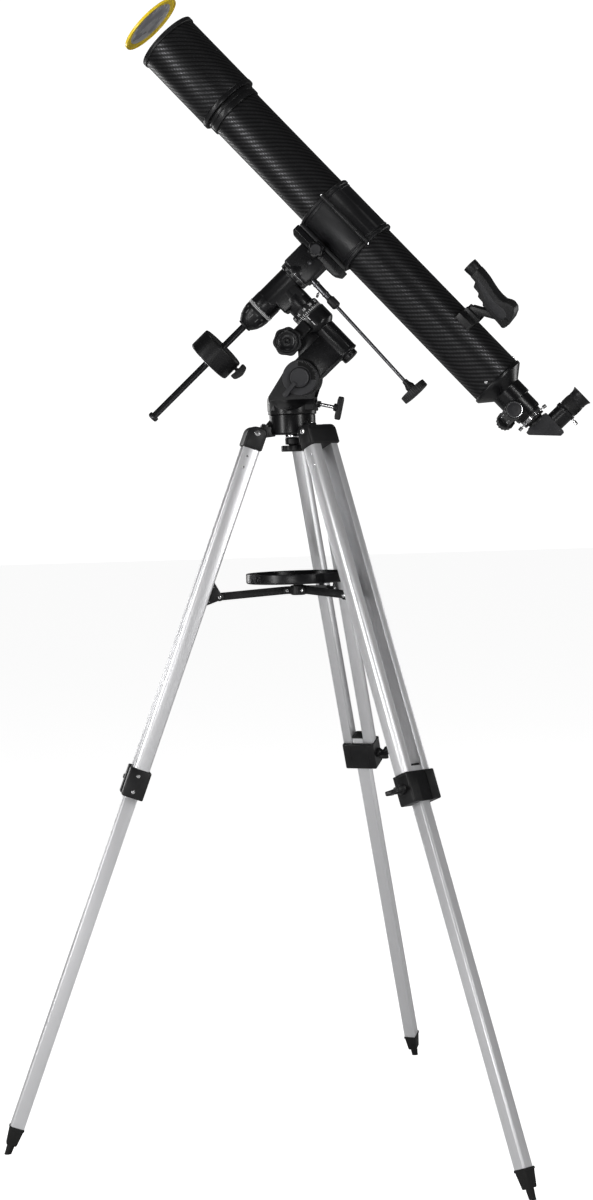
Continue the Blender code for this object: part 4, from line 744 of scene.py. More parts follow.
def makeFocusKnobs():
    f, half = focuser, 0.026
    place = focuserPlace @ placeAt((-f["drop"], 0, f["pinion"]), (0, 1, 0), (0, 0, 1))
    shapes = [spun([(0, -half - 0.018), (0.003, -half - 0.018), (0.003, half + 0.018), (0, half + 0.018)],
                   24, 0)]
    caps = []
    for side in (-1, 1):
        low, high = sorted((side * (half + 0.003), side * (half + 0.019)))
        shapes.append(slab(lobes(f["knob"], 0.0016, 16, 6), low, high, 0.0012, "XY", 3))
        hub = spun([(0, 0), (0.0085, 0), (0.0085, 0.004), (0, 0.004)], 32, 0.0005)
        shapes.append(moved(hub, shifted(0, 0, side * (half + 0.002) - (0.002 if side < 0 else 0))))
        flip = Matrix() if side > 0 else turned(pi, "X")
        cap = spun([(0, 0.0032), (0.006, 0.0032), (0.0125, 0.0026), (0.0138, 0.0012), (0.0138, -0.002),
                    (0, -0.002)], 48, 0.0004)
        caps.append(moved(cap, shifted(0, 0, side * (half + 0.0182)) @ flip))
    settle("focusKnobs", shapes, place, "satinBlack", "focus_pinion", ["focus_knobs"])
    settle("focusKnobCaps", caps, place, "diagonalGrey", "focus_pinion")
    rims = [moved(spun([(0.0124, 0.0019), (0.0146, 0.0014), (0.0146, -0.001), (0.0124, -0.001)], 48, 0.0002,
                       True), shifted(0, 0, side * (half + 0.0188))) for side in (-1, 1)]
    settle("focusKnobRims", rims, place, "brightSteel", "focus_pinion")


diagonal = {"front": -0.4971, "side": 0.047, "half": 0.018, "socket": 0.0178, "top": 0.054}
diagonal["up"] = diagonal["front"] - diagonal["side"] / 2 + 0.001


def makeDiagonal():
    d = diagonal
    front, side, half = d["front"], d["side"], d["half"]
    top, bottom = side / 2, -side / 2 - 0.003
    outline = [(top, front), (bottom + 0.008, front), (bottom, front - 0.0015), (bottom, front - 0.007),
               (top - 0.010, front - side - 0.001), (top - 0.002, front - side - 0.001),
               (top, front - side + 0.003)]
    centre = Vector((0.003, front - 0.019))
    inset = [tuple(centre + (Vector(p) - centre) * 0.965) for p in outline]
    body = slab(inset, -half + 0.0008, half - 0.0008, 0.0012, segments=3)
    rims = [slab(outline, low, low + 0.0022, 0.0006) for low in (-half, half - 0.0022)]
    socketZ = d["up"]
    bore = stick((0.004, 0, socketZ), (0.08, 0, socketZ), 0.0142, ease=0)
    carve(body, bore, stick((0, 0, socketZ), (0, 0, front + 0.05), 0.0138, ease=0))
    settle("diagonalHousing", [body, *rims], tubePlace, "diagonalGrey", "diagonal",
           ["star_diagonal"])
    nose = moved(spun([(0.0138, -0.003), (0.0205, -0.003), (0.0205, 0.0015), (0.0155, 0.002),
                       (0.0155, 0.030), (0.0138, 0.030)], 64, 0.0004, True), shifted(0, 0, front))
    settle("diagonalNose", [nose], tubePlace, "satinBlack", "diagonal")
    up = outward((0, 0, socketZ))
    pipe = spun([(0.0158, top - 0.003), (d["socket"], top - 0.003), (d["socket"], d["top"] - 0.008),
                 (0.0195, d["top"] - 0.0075), (0.0195, d["top"] - 0.001), (0.0185, d["top"]),
                 (0.0158, d["top"])], 64, 0.0004, True)
    settle("eyepieceSocket", [pipe], tubePlace @ up, "enamel", "diagonal")
    screw = thumbScrew((d["top"] - 0.0045, -0.004, socketZ - 0.0185), (-0.1, -0.22, -1), 0.013, 0.0030)
    screw += thumbScrew((d["top"] - 0.0045, -0.0185, socketZ + 0.004), (0, -1, 0.2), 0.004, 0.0018, 0.0018)
    settle("socketThumbscrews", screw, tubePlace, "brightSteel", "diagonal")


def makeEyepiece():
    d, length = diagonal, 0.038
    place = tubePlace @ outward((d["top"] + 0.0003, 0, d["up"]))
    barrel = spun([(0, length - 0.0060), (0.0105, length - 0.0055), (0.0150, length - 0.0015),
                   (0.0172, length), (0.0203, length), (0.0203, length - 0.0014), (0.0186, length - 0.0045),
                   (0.0175, length - 0.009), (0.0175, 0.0230), (0.0170, 0.0225), (0.0170, 0.0215),
                   (0.0175, 0.0210), (0.0175, 0), (0.0155, 0), (0.0155, -0.026), (0.013, -0.026),
                   (0.013, -0.010), (0, -0.010)], 72, 0.0005)
    settle("eyepieceBody", [barrel], place, "satinBlack", "eyepiece", ["eyepiece"])
    ribs = ticks(0.0174, 0.004, 0.018, 40, 0.0012, 0.0007)
    settle("eyepieceGrip", ribs, place, "rubber", "eyepiece")
    glass = spun([(0, length - 0.0045), (0.006, length - 0.0049), (0.0100, length - 0.0056),
                  (0, length - 0.0062)], 48, 0)
    settle("eyeLens", [glass], place, "lensGlass", "eyepiece", (), 60)


makeFocuser()
makeDrawtube()
makeFocusKnobs()
makeDiagonal()
makeEyepiece()
print("focuser, diagonal and eyepiece made")


# Finder

finder = {"turn": 28.0, "front": -0.216, "length": 0.122, "half": 0.013}
finderPlace = tubePlace @ turned(radians(-finder["turn"]))


def makeFinder():
    reach = 1 / cos(radians(finder["turn"]))
    tail, half = finder["front"] - finder["length"], finder["half"]
    shoe = brick((0.036, -0.026, -0.296), (0.056, 0.026, -0.263), 0.0012)
    carve(shoe, stick((0, 0, -0.4), (0, 0, -0.2), 0.0503, steps=96, ease=0))
    keepInside(shoe, stick((0.010, 0, -0.4), (0.010, 0, -0.2), 0.0575, steps=96, ease=0))
    riser = brick((0.053, -0.012, -0.2975), (0.0665, 0.012, -0.264), 0.0016)
    carve(riser, brick((0.0605, -0.0075, -0.31), (0.08, 0.0075, -0.25), 0.0003, 1))
    settle("finderShoe", [shoe, riser], finderPlace, "satinBlack", "tube", ["finder_shoe"])
    view = [(0.1175, -0.232), (0.1172, -0.242), (0.1158, -0.256), (0.1128, -0.270), (0.1105, -0.283),
            (0.1098, -0.295), (0.1108, -0.305), (0.1148, -0.3118), (0.1168, -0.3180), (0.1155, tail + 0.010),
            (0.1100, tail + 0.004), (0.1000, tail), (0.0800, tail - 0.002), (0.0765, tail + 0.002),
            (0.0775, -0.3300), (0.0790, -0.3010), (0.0800, -0.2830), (0.0840, -0.2805), (0.0845, -0.2665),
            (0.0900, -0.2635), (0.0910, -0.2490), (0.0995, -0.2455), (0.1000, -0.232)]
    outline = [(height * reach, z) for height, z in view]
    body = slab(outline, -half, half, 0.0038, segments=4)
    stalk = [(0.0815 * reach, -0.302), (0.0815 * reach, -0.326), (0.0720, -0.294), (0.0608, -0.294),
             (0.0608, -0.266), (0.0720, -0.270)]
    arm = slab(stalk, -0.0070, 0.0070, 0.0012)
    centre = 0.1088 * reach
    ring = moved(spun([(0.0115, -0.2335), (0.0128, -0.2335), (0.0134, -0.228), (0.0138, -0.222),
                       (0.0138, finder["front"]), (0.0122, finder["front"]), (0.0115, -0.220)], 64, 0.0004,
                      True), shifted(centre, 0, 0))
    window = moved(spun([(0, -0.2262), (0.0118, -0.2262), (0.0118, -0.2235), (0, -0.2240)], 48, 0),
                   shifted(centre, 0, 0))
    settle("finderBody", [body, arm, ring], finderPlace, "satinBlack", "tube",
           ["finder_body"], 40)
    settle("finderWindow", [window], finderPlace, "lensGlass", "tube")
    cheek = [(height * reach, z) for height, z in ((0.1080, -0.246), (0.1068, -0.262), (0.1020, -0.282),
                                                   (0.1000, -0.300), (0.1030, -0.316), (0.1000, -0.326),
                                                   (0.0900, -0.328), (0.0860, -0.318), (0.0870, -0.300),
                                                   (0.0900, -0.284), (0.0960, -0.266), (0.1010, -0.250))]
    panels = [slab(cheek, low, low + 0.0012, 0.0006) for low in (-half - 0.0006, half - 0.0006)]
    settle("finderPanels", panels, finderPlace, "diagonalGrey", "tube")
    wheel = moved(slab(lobes(0.0075, 0.0006, 14, 3), -0.0012, 0.0012, 0.0003, "XY", 1),
                  shifted(0.088 * reach, -half - 0.0010, -0.334) @ turned(pi / 2, "X"))
    settle("finderWheel", [wheel], finderPlace, "rubber", "tube")


makeFinder()
print("finder made")


# Cradle and saddle

cradle = {"inner": 0.0503, "outer": 0.0545, "front": 0.058, "rear": -0.060, "hinge": 0.007,
          "knuckle": 0.0042}


def makeCradle():
    c = cradle
    inner, outer, bead, front, rear = c["inner"], c["outer"], c["outer"] + 0.002, c["front"], c["rear"]
    hinge = Vector(tubePlace.inverted() @ jointPoint("cradle_open"))
    profile = [(inner, front), (bead - 0.0012, front), (bead, front - 0.0015), (bead, front - 0.0058),
               (outer + 0.0002, front - 0.007), (outer, front - 0.0095), (outer + 0.0009, front - 0.0100),
               (outer + 0.0009, front - 0.0122), (outer, front - 0.0128), (outer, rear + 0.0128),
               (outer + 0.0009, rear + 0.0122), (outer + 0.0009, rear + 0.0100), (outer, rear + 0.0095),
               (outer + 0.0002, rear + 0.007), (bead, rear + 0.0058), (bead, rear + 0.0015),
               (bead - 0.0012, rear), (inner, rear)]
    big, split = 0.2, c["hinge"]
    spans = {"Lower": [(rear, -0.030), (0.030, front)], "Upper": [(-0.0297, 0.0297)]}
    for half, body, node, low, high in (
            ("Lower", "declination", "cradle_lower", split - 0.00015, big),
            ("Upper", "cradle_lid", "cradle_upper", -big, split + 0.00015)):
        shell = spun(profile, 128, 0.0003, True)
        carve(shell, brick((low, -big, -big), (high, big, big), 0.0001, 1))
        others = spans["Upper" if half == "Lower" else "Lower"]
        carve(shell, *[stick((hinge.x, hinge.y, a - 0.0003), (hinge.x, hinge.y, b + 0.0003), 0.0046, ease=0)
                       for a, b in others])
        shapes = [shell]
        shapes += [stick((hinge.x, hinge.y, a), (hinge.x, hinge.y, b), c["knuckle"]) for a, b in spans[half]]
        side = 1 if half == "Upper" else -1
        edge = split + side * 0.00015
        strip = sorted((edge, edge + side * 0.0042))
        shapes.append(brick((strip[0], -outer - 0.0012, rear + 0.0135),
                            (strip[1], -outer + 0.0008, front - 0.0135), 0.0006))
        ear = sorted((edge, edge + side * (0.0118 if half == "Upper" else 0.0158)))
        shapes.append(brick((ear[0], outer - 0.002, -0.012), (ear[1], outer + 0.014, 0.012), 0.002))
        if half == "Lower":
            shapes.append(brick((-0.0592, -0.022, rear + 0.002), (-0.0506, 0.022, front - 0.002), 0.0015))
        settle("cradle" + half, shapes, tubePlace, "cradlePaint", body, [node])
    pin = stick((hinge.x, hinge.y, rear - 0.003), (hinge.x, hinge.y, front + 0.003), 0.002)
    ends = [stick((hinge.x, hinge.y, z), (hinge.x, hinge.y, z + 0.0014), 0.0031)
            for z in (rear - 0.003, front + 0.0016)]
    settle("cradleHingePin", [pin, *ends], tubePlace, "brightSteel", "declination",
           ["cradle_hinge_pin"])
    clasp = [stick((split - 0.024, outer + 0.0075, 0), (split + 0.0118, outer + 0.0075, 0), 0.0025)]
    clasp.append(moved(slab(lobes(0.0075, 0.001, 8, 5), 0, 0.009, 0.0008, "XY"),
                       outward((split - 0.0335, outer + 0.0075, 0))))
    settle("cradleClasp", clasp, tubePlace, "satinBlack", "declination")


saddle = {"bottom": 0.0785, "top": 0.0995, "half": 0.024, "flange": 0.0310}


def makeSaddle():
    s = saddle
    shaft = spun([(0, 0.050), (0.0265, 0.050), (0.0272, 0.0455), (0.0295, 0.0385), (0.0295, s["flange"]),
                  (0.0097, s["flange"]), (0.0097, -0.0623), (0, -0.0623)], 96, 0.0007)
    block = brick((-0.0290, -0.0265, s["flange"] + 0.003), (0.0300, 0.0265, s["bottom"] + 0.004), 0.004, 4)
    side = [(-0.058, s["top"]), (-0.058, s["bottom"] + 0.007), (-0.050, s["bottom"] + 0.0008),
            (-0.030, s["bottom"]), (0.033, s["bottom"]), (0.052, s["bottom"] + 0.0008),
            (0.063, s["bottom"] + 0.008), (0.063, s["top"])]
    plateBar = slab(side, -s["half"], s["half"], 0.002, segments=3)
    step = slab([(-0.055, s["bottom"] + 0.0125), (-0.055, s["bottom"] + 0.0105),
                 (0.060, s["bottom"] + 0.0105), (0.060, s["bottom"] + 0.0125)], -s["half"] - 0.0010,
                s["half"] + 0.0010, 0.0006)
    settle("saddleCasting", [shaft, block, plateBar, step], decPlace, "enamel", "declination",
           ["saddle"])
    band = spun([(0.0293, 0.0318), (0.0298, 0.0318), (0.0298, 0.0324), (0.0293, 0.0324)], 96, 0.0001, True)
    settle("saddleEdgeLine", [band], decPlace, "brightSteel", "declination")
    lock = moved(spun([(0, 0.004), (0.0048, 0.004), (0.0052, 0.0025), (0.0052, -0.002), (0, -0.002)], 32,
                      0.0004), facing((0.0066, -0.0265, 0.0675), -1))
    settle("saddleLockScrew", [lock], decPlace, "blackSteel", "declination")


def makeSaddleKnob():
    place = decPlace @ facing((0, -saddle["half"], 0.091), -1)
    stem = spun([(0, -0.012), (0.0035, -0.012), (0.0035, 0.009), (0, 0.009)], 24, 0)
    collar = spun([(0, 0.0005), (0.0068, 0.0005), (0.0075, 0.004), (0.0088, 0.0085), (0, 0.0085)], 40,
                  0.0006)
    grip = slab(lobes(0.0158, 0.0030, 6, 8), 0.008, 0.022, 0.0022, "XY", 4)
    face = spun([(0, 0.0238), (0.0072, 0.0238), (0.0080, 0.0245), (0.0092, 0.0242), (0.0098, 0.021),
                 (0, 0.021)], 48, 0.0003)
    settle("saddleKnob", [stem, collar, grip], place, "enamel", "saddle_knob",
           ["saddle_clamp_knob"])
    settle("saddleKnobFace", [face], place, "dialGrey", "saddle_knob")


control = {"end": 0.282, "rod": 0.0032, "knob": 0.0265}


def makeDecControl():
    c = control
    end, knob = c["end"], c["knob"]
    place = placeAt(jointPoint("dec_control_turn"), jointLine("dec_control_turn"), (0, 1, 0))
    bar = spun([(0, 0.2665), (c["rod"], 0.2665), (c["rod"], 0.060), (0, 0.060)], 40, 0)
    settle("controlRod", [bar], place, "rodSteel", "dec_knob", ["dec_control"])
    ends = [spun([(0, 0.068), (0.0055, 0.068), (0.0085, 0.0655), (0.0085, 0.0485), (0.0062, 0.0462),
                  (0.0062, 0.044), (0, 0.044)], 40, 0.0006),
            spun([(0, end - 0.011), (0.0085, end - 0.0115), (0.0090, end - 0.020), (0.0060, end - 0.0265),
                  (0.0050, end - 0.034), (0.0032, end - 0.0345), (0, end - 0.0345)], 40, 0.0006),
            slab(lobes(knob, 0.0007, 40, 4), end - 0.0135, end - 0.0005, 0.0016, "XY", 3),
            spun([(0, end), (0.015, end), (0.0165, end - 0.0018), (0.0200, end - 0.0018), (0.0215, end),
                  (0.0235, end - 0.0008), (0.0235, end - 0.004), (0, end - 0.004)], 64, 0.0004)]
    settle("controlKnob", ends, place, "satinBlack", "dec_knob")
    bush = [spun([(0, 0.046), (0.0058, 0.046), (0.0060, 0.044), (0.0060, 0.002), (0.004, 0.002),
                  (0.004, -0.012), (0, -0.012)], 40, 0.0005)]
    bush += [spun([(0.0056, z), (0.0068, z), (0.0068, z + 0.003), (0.0056, z + 0.003)], 40, 0.0004, True)
             for z in (0.010, 0.034)]
    settle("controlBush", bush, place, "rodSteel", "dec_knob")
    screw = thumbScrew((0, -0.0055, 0.024), (0.2, -0.25, 0.1), 0.013, 0.0026, 0.002)
    settle("controlSetScrew", screw, place, "brightSteel", "dec_knob")


makeCradle()
makeSaddle()
makeSaddleKnob()
makeDecControl()
print("cradle, saddle and control made")


# Declination axis

decAxis = {"top": 0.0307, "bottom": -0.0537, "cone": -0.0623}


def makeDecHousing():
    d = decAxis
    body = spun([(0, d["top"]), (0.029, d["top"]), (0.029, d["top"] - 0.0068), (0.0258, d["top"] - 0.0075),
                 (0.0250, d["top"] - 0.0090), (0.0250, -0.036), (0.0256, -0.037), (0.0256, d["bottom"]),
                 (0, d["bottom"])], 96, 0.0007)
    neck = stick((0, 0, 0), (0.0710, 0, 0), 0.022, steps=96)
    collar = moved(spun([(0, 0.026), (0.0232, 0.026), (0.0236, 0.034), (0.0232, 0.052), (0, 0.052)], 96,
                        0.0008), placeAt((0, 0, 0), (1, 0, 0), (0, 1, 0)))
    shaft = stick((0.03, 0, 0), (0.148, 0, 0), 0.0087)
    rib = slab([(0.0, -0.030), (0.040, -0.030), (0.040, 0.020), (0.0, 0.020)], -0.0215, 0.0215, 0.004,
               segments=4)
    settle("decHousing", [body, neck, collar, shaft, rib], decPlace, "enamel", "right_ascension",
           ["declination_housing"])
    ring = spun([(0.010, -0.0540), (0.0260, -0.0540), (0.0262, -0.0550), (0.0258, -0.0620),
                 (0.010, -0.0620)], 96, 0.0004, True)
    settle("decCircle", [ring], decPlace, "satinBlack", "right_ascension",
           ["dec_setting_circle"])
    marks = ticks(0.0260, -0.0614, -0.0560, 60, 0.0009, 0.00028, 0, 5, 0.0014)
    settle("decCircleTicks", marks, decPlace, "whitePrint", "right_ascension")
    raised = [wrapped(str((i * 3) % 10 * 10), 0.0062, 0.0290, 2 * pi * i / 12, 0.0272, 0.00035)
              for i in range(12)]
    settle("decScaleNumbers", raised, decPlace, "greyPrint", "right_ascension")
    edge = spun([(0.0286, 0.0300), (0.0293, 0.0300), (0.0293, 0.0305), (0.0286, 0.0305)], 96, 0, True)
    settle("decFlangeEdge", [edge], decPlace, "greyPrint", "right_ascension")


def makeSocketCone():
    top = decAxis["cone"]
    low = top - 0.0385
    cone = spun([(0, top), (0.0255, top), (0.0257, top - 0.004), (0.0250, top - 0.010),
                 (0.0236, top - 0.017), (0.0205, top - 0.0255), (0.0150, top - 0.0335),
                 (0.0131, top - 0.0352), (0.0131, low + 0.0008), (0.0120, low), (0.0065, low),
                 (0.0065, low + 0.026), (0, low + 0.026)], 96, 0.0006)
    settle("socketCone", [cone], decPlace, "satinBlack", "declination",
           ["shaft_socket_cone"])
    marks = []
    for i in range(12):
        turn = 2 * pi * i / 12
        slope = atan2(0.0014, 0.007)
        dash = brick((-0.0002, -0.0007, -0.0042), (0.00035, 0.0007, 0.0042), 0.0001, 1)
        marks.append(moved(dash, turned(turn) @ shifted(0.0242, 0, top - 0.0135) @ turned(slope, "Y")))
        marks.append(wrapped(str(i * 2), 0.0048, 0.02535, turn + 0.25, top - 0.0062, 0.0003))
    settle("socketConeMarks", marks, decPlace, "greyPrint", "declination")


weight = {"radius": 0.0435, "top": -0.153, "height": 0.041, "shaft": 0.0062, "end": -0.333}


def makeShaftAndWeight():
    w = weight
    shaft = spun([(0, -0.0743), (w["shaft"], -0.0743), (w["shaft"], w["end"]), (0.0095, w["end"]),
                  (0.0095, w["end"] - 0.006), (0.008, w["end"] - 0.008), (0, w["end"] - 0.008)], 64, 0.0005)
    settle("weightShaft", [shaft], decPlace, "blackSteel", "declination",
           ["counterweight_shaft"])
    top, low, r = w["top"], w["top"] - w["height"], w["radius"]
    body = spun([(0.0065, top - 0.0003), (r - 0.003, top - 0.0003), (r - 0.0008, top - 0.0012),
                 (r, top - 0.0035), (r, low + 0.0030), (r - 0.0010, low + 0.0010), (r - 0.003, low + 0.0003),
                 (0.0065, low + 0.0003)], 128, 0.0006, True)
    settle("weightBody", [body], decPlace, "weightIron", "weight", ["counterweight"])
    face = spun([(0.0066, low), (r - 0.0024, low), (r - 0.0024, low + 0.0006), (0.0066, low + 0.0006)],
                96, 0.0001, True)
    settle("weightFace", [face], decPlace, "machinedFace", "weight")
    place = decPlace @ placeAt((r, 0, top - 0.0125), (1, 0, 0), (0, 1, 0))
    stem = spun([(0, -0.030), (0.0035, -0.030), (0.0035, 0.004), (0.0052, 0.0045), (0.0058, 0.0075),
                 (0, 0.0075)], 28, 0.0003)
    outline = [(-0.016, 0.0055), (-0.0145, 0.0035), (-0.006, 0.0045), (0, 0.0030), (0.006, 0.0045),
               (0.0145, 0.0035), (0.016, 0.0055), (0.0155, 0.0125), (0.0125, 0.0150), (0.006, 0.0172),
               (0, 0.0182), (-0.006, 0.0172), (-0.0125, 0.0150), (-0.0155, 0.0125)]
    wing = moved(slab(outline, -0.0045, 0.0045, 0.0020, segments=4), turned(pi / 2))
    settle("weightKnob", [stem, wing], place, "satinBlack", "weight_knob",
           ["counterweight_lock_knob"])


makeDecHousing()
makeSocketCone()
makeShaftAndWeight()
print("declination axis made")


# Polar axis

polar = {"front": -0.0713, "drumRear": -0.101, "rear": -0.170, "drum": 0.030, "body": 0.0215, "lug": 0.034,
         "wormX": -0.0595, "wormZ": -0.0835, "wormHalf": 0.032, "pivotX": -0.0896, "pivotZ": -0.1437,
         "half": 0.020}


def makePolarHousing():
    p = polar
    body = spun([(0, p["front"]), (p["drum"], p["front"]), (p["drum"], p["drumRear"] + 0.004),
                 (0.0290, p["drumRear"] + 0.001), (0.0240, p["drumRear"] - 0.0035),
                 (p["body"], p["drumRear"] - 0.005), (p["body"], p["rear"] + 0.004),
                 (0.0220, p["rear"] + 0.003), (0.0220, p["rear"] + 0.0005), (0.0165, p["rear"]),
                 (0.0155, p["rear"] - 0.002), (0.0155, p["rear"] - 0.0085), (0.0145, p["rear"] - 0.010),
                 (0, p["rear"] - 0.010)], 96, 0.0008)
    lug = stick((p["pivotX"], -p["half"], p["pivotZ"]), (p["pivotX"], p["half"], p["pivotZ"]), p["lug"],
                steps=96, ease=0.0015)
    neck = brick((p["pivotX"], -p["half"] + 0.001, p["pivotZ"] - 0.0245),
                 (-0.008, p["half"] - 0.001, p["pivotZ"] + 0.0315), 0.003, 3)
    edge = slab([(p["pivotX"] + 0.030, p["pivotZ"] - 0.0245), (-0.006, p["pivotZ"] - 0.0245),
                 (-0.006, p["pivotZ"] - 0.0215), (p["pivotX"] + 0.030, p["pivotZ"] - 0.0215)],
                -p["half"] - 0.0005, p["half"] + 0.0005, 0.0008)
    block = brick((p["wormX"] - 0.011, -p["wormHalf"], p["wormZ"] - 0.0115),
                  (-0.014, p["wormHalf"], p["wormZ"] + 0.0115), 0.0035, 4)
    neckTop, bridgeTop = p["pivotZ"] + 0.0305, p["wormZ"] - 0.008
    bridge = slab([(p["wormX"] + 0.0095, bridgeTop), (p["wormX"] - 0.0085, neckTop), (-0.014, neckTop),
                   (-0.014, bridgeTop)], -p["half"] + 0.002, p["half"] - 0.002, 0.001)
    ribs = []
    for turn in (200, 235, 270, 305, 340):
        rib = brick((0, -0.0012, p["rear"] + 0.006), (p["body"] + 0.0007, 0.0012, p["drumRear"] - 0.006),
                    0.0006)
        ribs.append(moved(rib, turned(radians(turn))))
    settle("polarHousing", [body, lug, neck, edge, bridge, block, *ribs], polarPlace, "enamel", "polar",
           ["polar_housing"])
    line = spun([(0.0298, p["front"] - 0.0016), (0.0303, p["front"] - 0.0016), (0.0303, p["front"] - 0.0008),
                 (0.0298, p["front"] - 0.0008)], 96, 0, True)
    settle("polarEdgeLine", [line], polarPlace, "brightSteel", "polar")
    dashes = [moved(brick((-0.0005, -0.0006, -0.0045), (0.00035, 0.0006, 0.0045), 0.0001, 1),
                    turned(radians(turn)) @ shifted(0.030, 0, z)) for turn,
              z in ((262, -0.0895), (262, -0.0775))]
    settle("polarIndex", dashes, polarPlace, "whitePrint", "polar")
    cap = spun([(0.0118, p["rear"] - 0.0102), (0.0130, p["rear"] - 0.0102), (0.0130, p["rear"] - 0.0090),
                (0.0118, p["rear"] - 0.0090)], 64, 0.0002, True)
    settle("polarCapRim", [cap], polarPlace, "dialGrey", "polar")


def makeSettingCircle():
    ring = spun([(0.0223, polar["front"] + 0.0003), (0.028, polar["front"] + 0.0003), (0.028, -0.0560),
                 (0.0272, -0.0540), (0.0223, -0.0540)], 96, 0.0004, True)
    settle("raCircle", [ring], polarPlace, "satinBlack", "ra_circle", ["ra_setting_circle"])
    marks = ticks(0.028, -0.0705, -0.0672, 48, 0.0009, 0.00025, 0, 2, 0.0018)
    marks += [wrapped(str(i * 2), 0.0066, 0.0280, 2 * pi * i / 12, -0.0604, 0.0003) for i in range(12)]
    settle("raCircleMarks", marks, polarPlace, "whitePrint", "ra_circle")


def makeRaKnob():
    place = placeAt(jointPoint("ra_knob_turn"), jointLine("ra_knob_turn"), pole)
    stem = spun([(0, -0.040), (0.004, -0.040), (0.004, 0.004), (0.011, 0.0042), (0.0118, 0.0145),
                 (0, 0.0145)], 40, 0.0005)
    rim = slab(lobes(0.0265, 0.0020, 7, 12), 0.014, 0.0265, 0.0022, "XY", 4)
    face = spun([(0, 0.0272), (0.0030, 0.0272), (0.0036, 0.0290), (0.0052, 0.0290), (0.0058, 0.0268),
                 (0.0110, 0.0272), (0.0135, 0.0280), (0.0150, 0.0292), (0.0165, 0.0300), (0.0185, 0.0302),
                 (0.0200, 0.0290), (0.0215, 0.0265), (0.0215, 0.025), (0, 0.025)], 96, 0.0005)
    settle("raKnob", [stem, rim], place, "satinBlack", "ra_knob", ["ra_control_knob"])
    settle("raKnobFace", [face], place, "enamel", "ra_knob")


makePolarHousing()
makeSettingCircle()
makeRaKnob()
print("polar axis made")


# Fork, dial and altitude screw

fork = {"radius": 0.044, "pivotX": 0.0213, "rise": 0.0651, "cheek": 0.033, "half": 0.0338, "slot": 0.0203,
        "wallTop": 0.0301, "floor": 0.012, "ledge": 0.0266, "slope": 0.0065}


def sideCutter(side):  # a slope up to a ledge, then the cheek's outer face round the dial's pad
    f = fork
    face, past = f["radius"] - (f["ledge"] - f["slope"]), 0.02
    shape = [(face, f["ledge"]), (f["radius"] + past, f["slope"] - past), (f["radius"] + past, 0.13),
             (face, 0.13)]
    tool = moved(slab(shape, -0.09, 0.09, 0), turned(side * pi / 2))
    return carve(tool, stick((f["pivotX"], -0.1, f["rise"]), (f["pivotX"], 0.1, f["rise"]), f["cheek"],
                             steps=96, ease=0))


def makeFork():
    f = fork
    centre = (f["pivotX"], f["rise"])
    corner = (-f["radius"], 0.027)
    back = atan2(corner[1] - centre[1], corner[0] - centre[0])
    reach = hypot(corner[0] - centre[0], corner[1] - centre[1])
    start = degrees(back + 2 * pi - acos(f["cheek"] / reach))
    outline = [(-f["radius"], 0.006), (f["radius"], 0.006), (f["radius"], 0.030),
               *arcPoints(centre, f["cheek"], -25, start, 48), corner]
    cheeks = slab(outline, -f["half"], f["half"], 0.0018, segments=3)
    keepInside(cheeks, stick((0.0105, 0, -0.02), (0.0105, 0, 0.12), 0.0555, steps=128, ease=0))
    carve(cheeks, *[sideCutter(side) for side in (-1, 1)])
    s = f["slot"]
    carve(cheeks, brick((-0.029, -s, f["wallTop"]), (0.08, s, 0.12), 0.0004, 1),
          brick((-0.029, -s, f["floor"]), (0.031, s, f["wallTop"] + 0.01), 0.0004, 1))
    drum = spun([(0, 0.0003), (f["radius"], 0.0003), (f["radius"], 0.0240), (f["radius"] - 0.002, 0.0250),
                 (0, 0.0250)], 128, 0.0006)
    carve(drum, brick((-0.029, -s, f["floor"]), (0.031, s, 0.05), 0.0004, 1),
          *[sideCutter(side) for side in (-1, 1)])
    pads = [moved(spun([(0, 0), (0.030, 0), (0.032, 0.0012), (0.032, 0.0022), (0, 0.0022)], 96, 0.0005),
                  facing((f["pivotX"], side * (f["half"] - 0.002), f["rise"]), side)) for side in (-1, 1)]
    boss = moved(spun([(0.0036, 0.004), (0.0072, 0.004), (0.0080, 0.006), (0.0080, 0.0072),
                       (0.0036, 0.0072)], 40, 0.0004, True),
                 placeAt((0.038, 0, 0.020), (cos(radians(13.4)), 0, -sin(radians(13.4))), (0, 1, 0)))
    settle("forkCasting", [cheeks, drum, *pads, boss], azimuthPlace, "enamel", "azimuth",
           ["azimuth_base"])


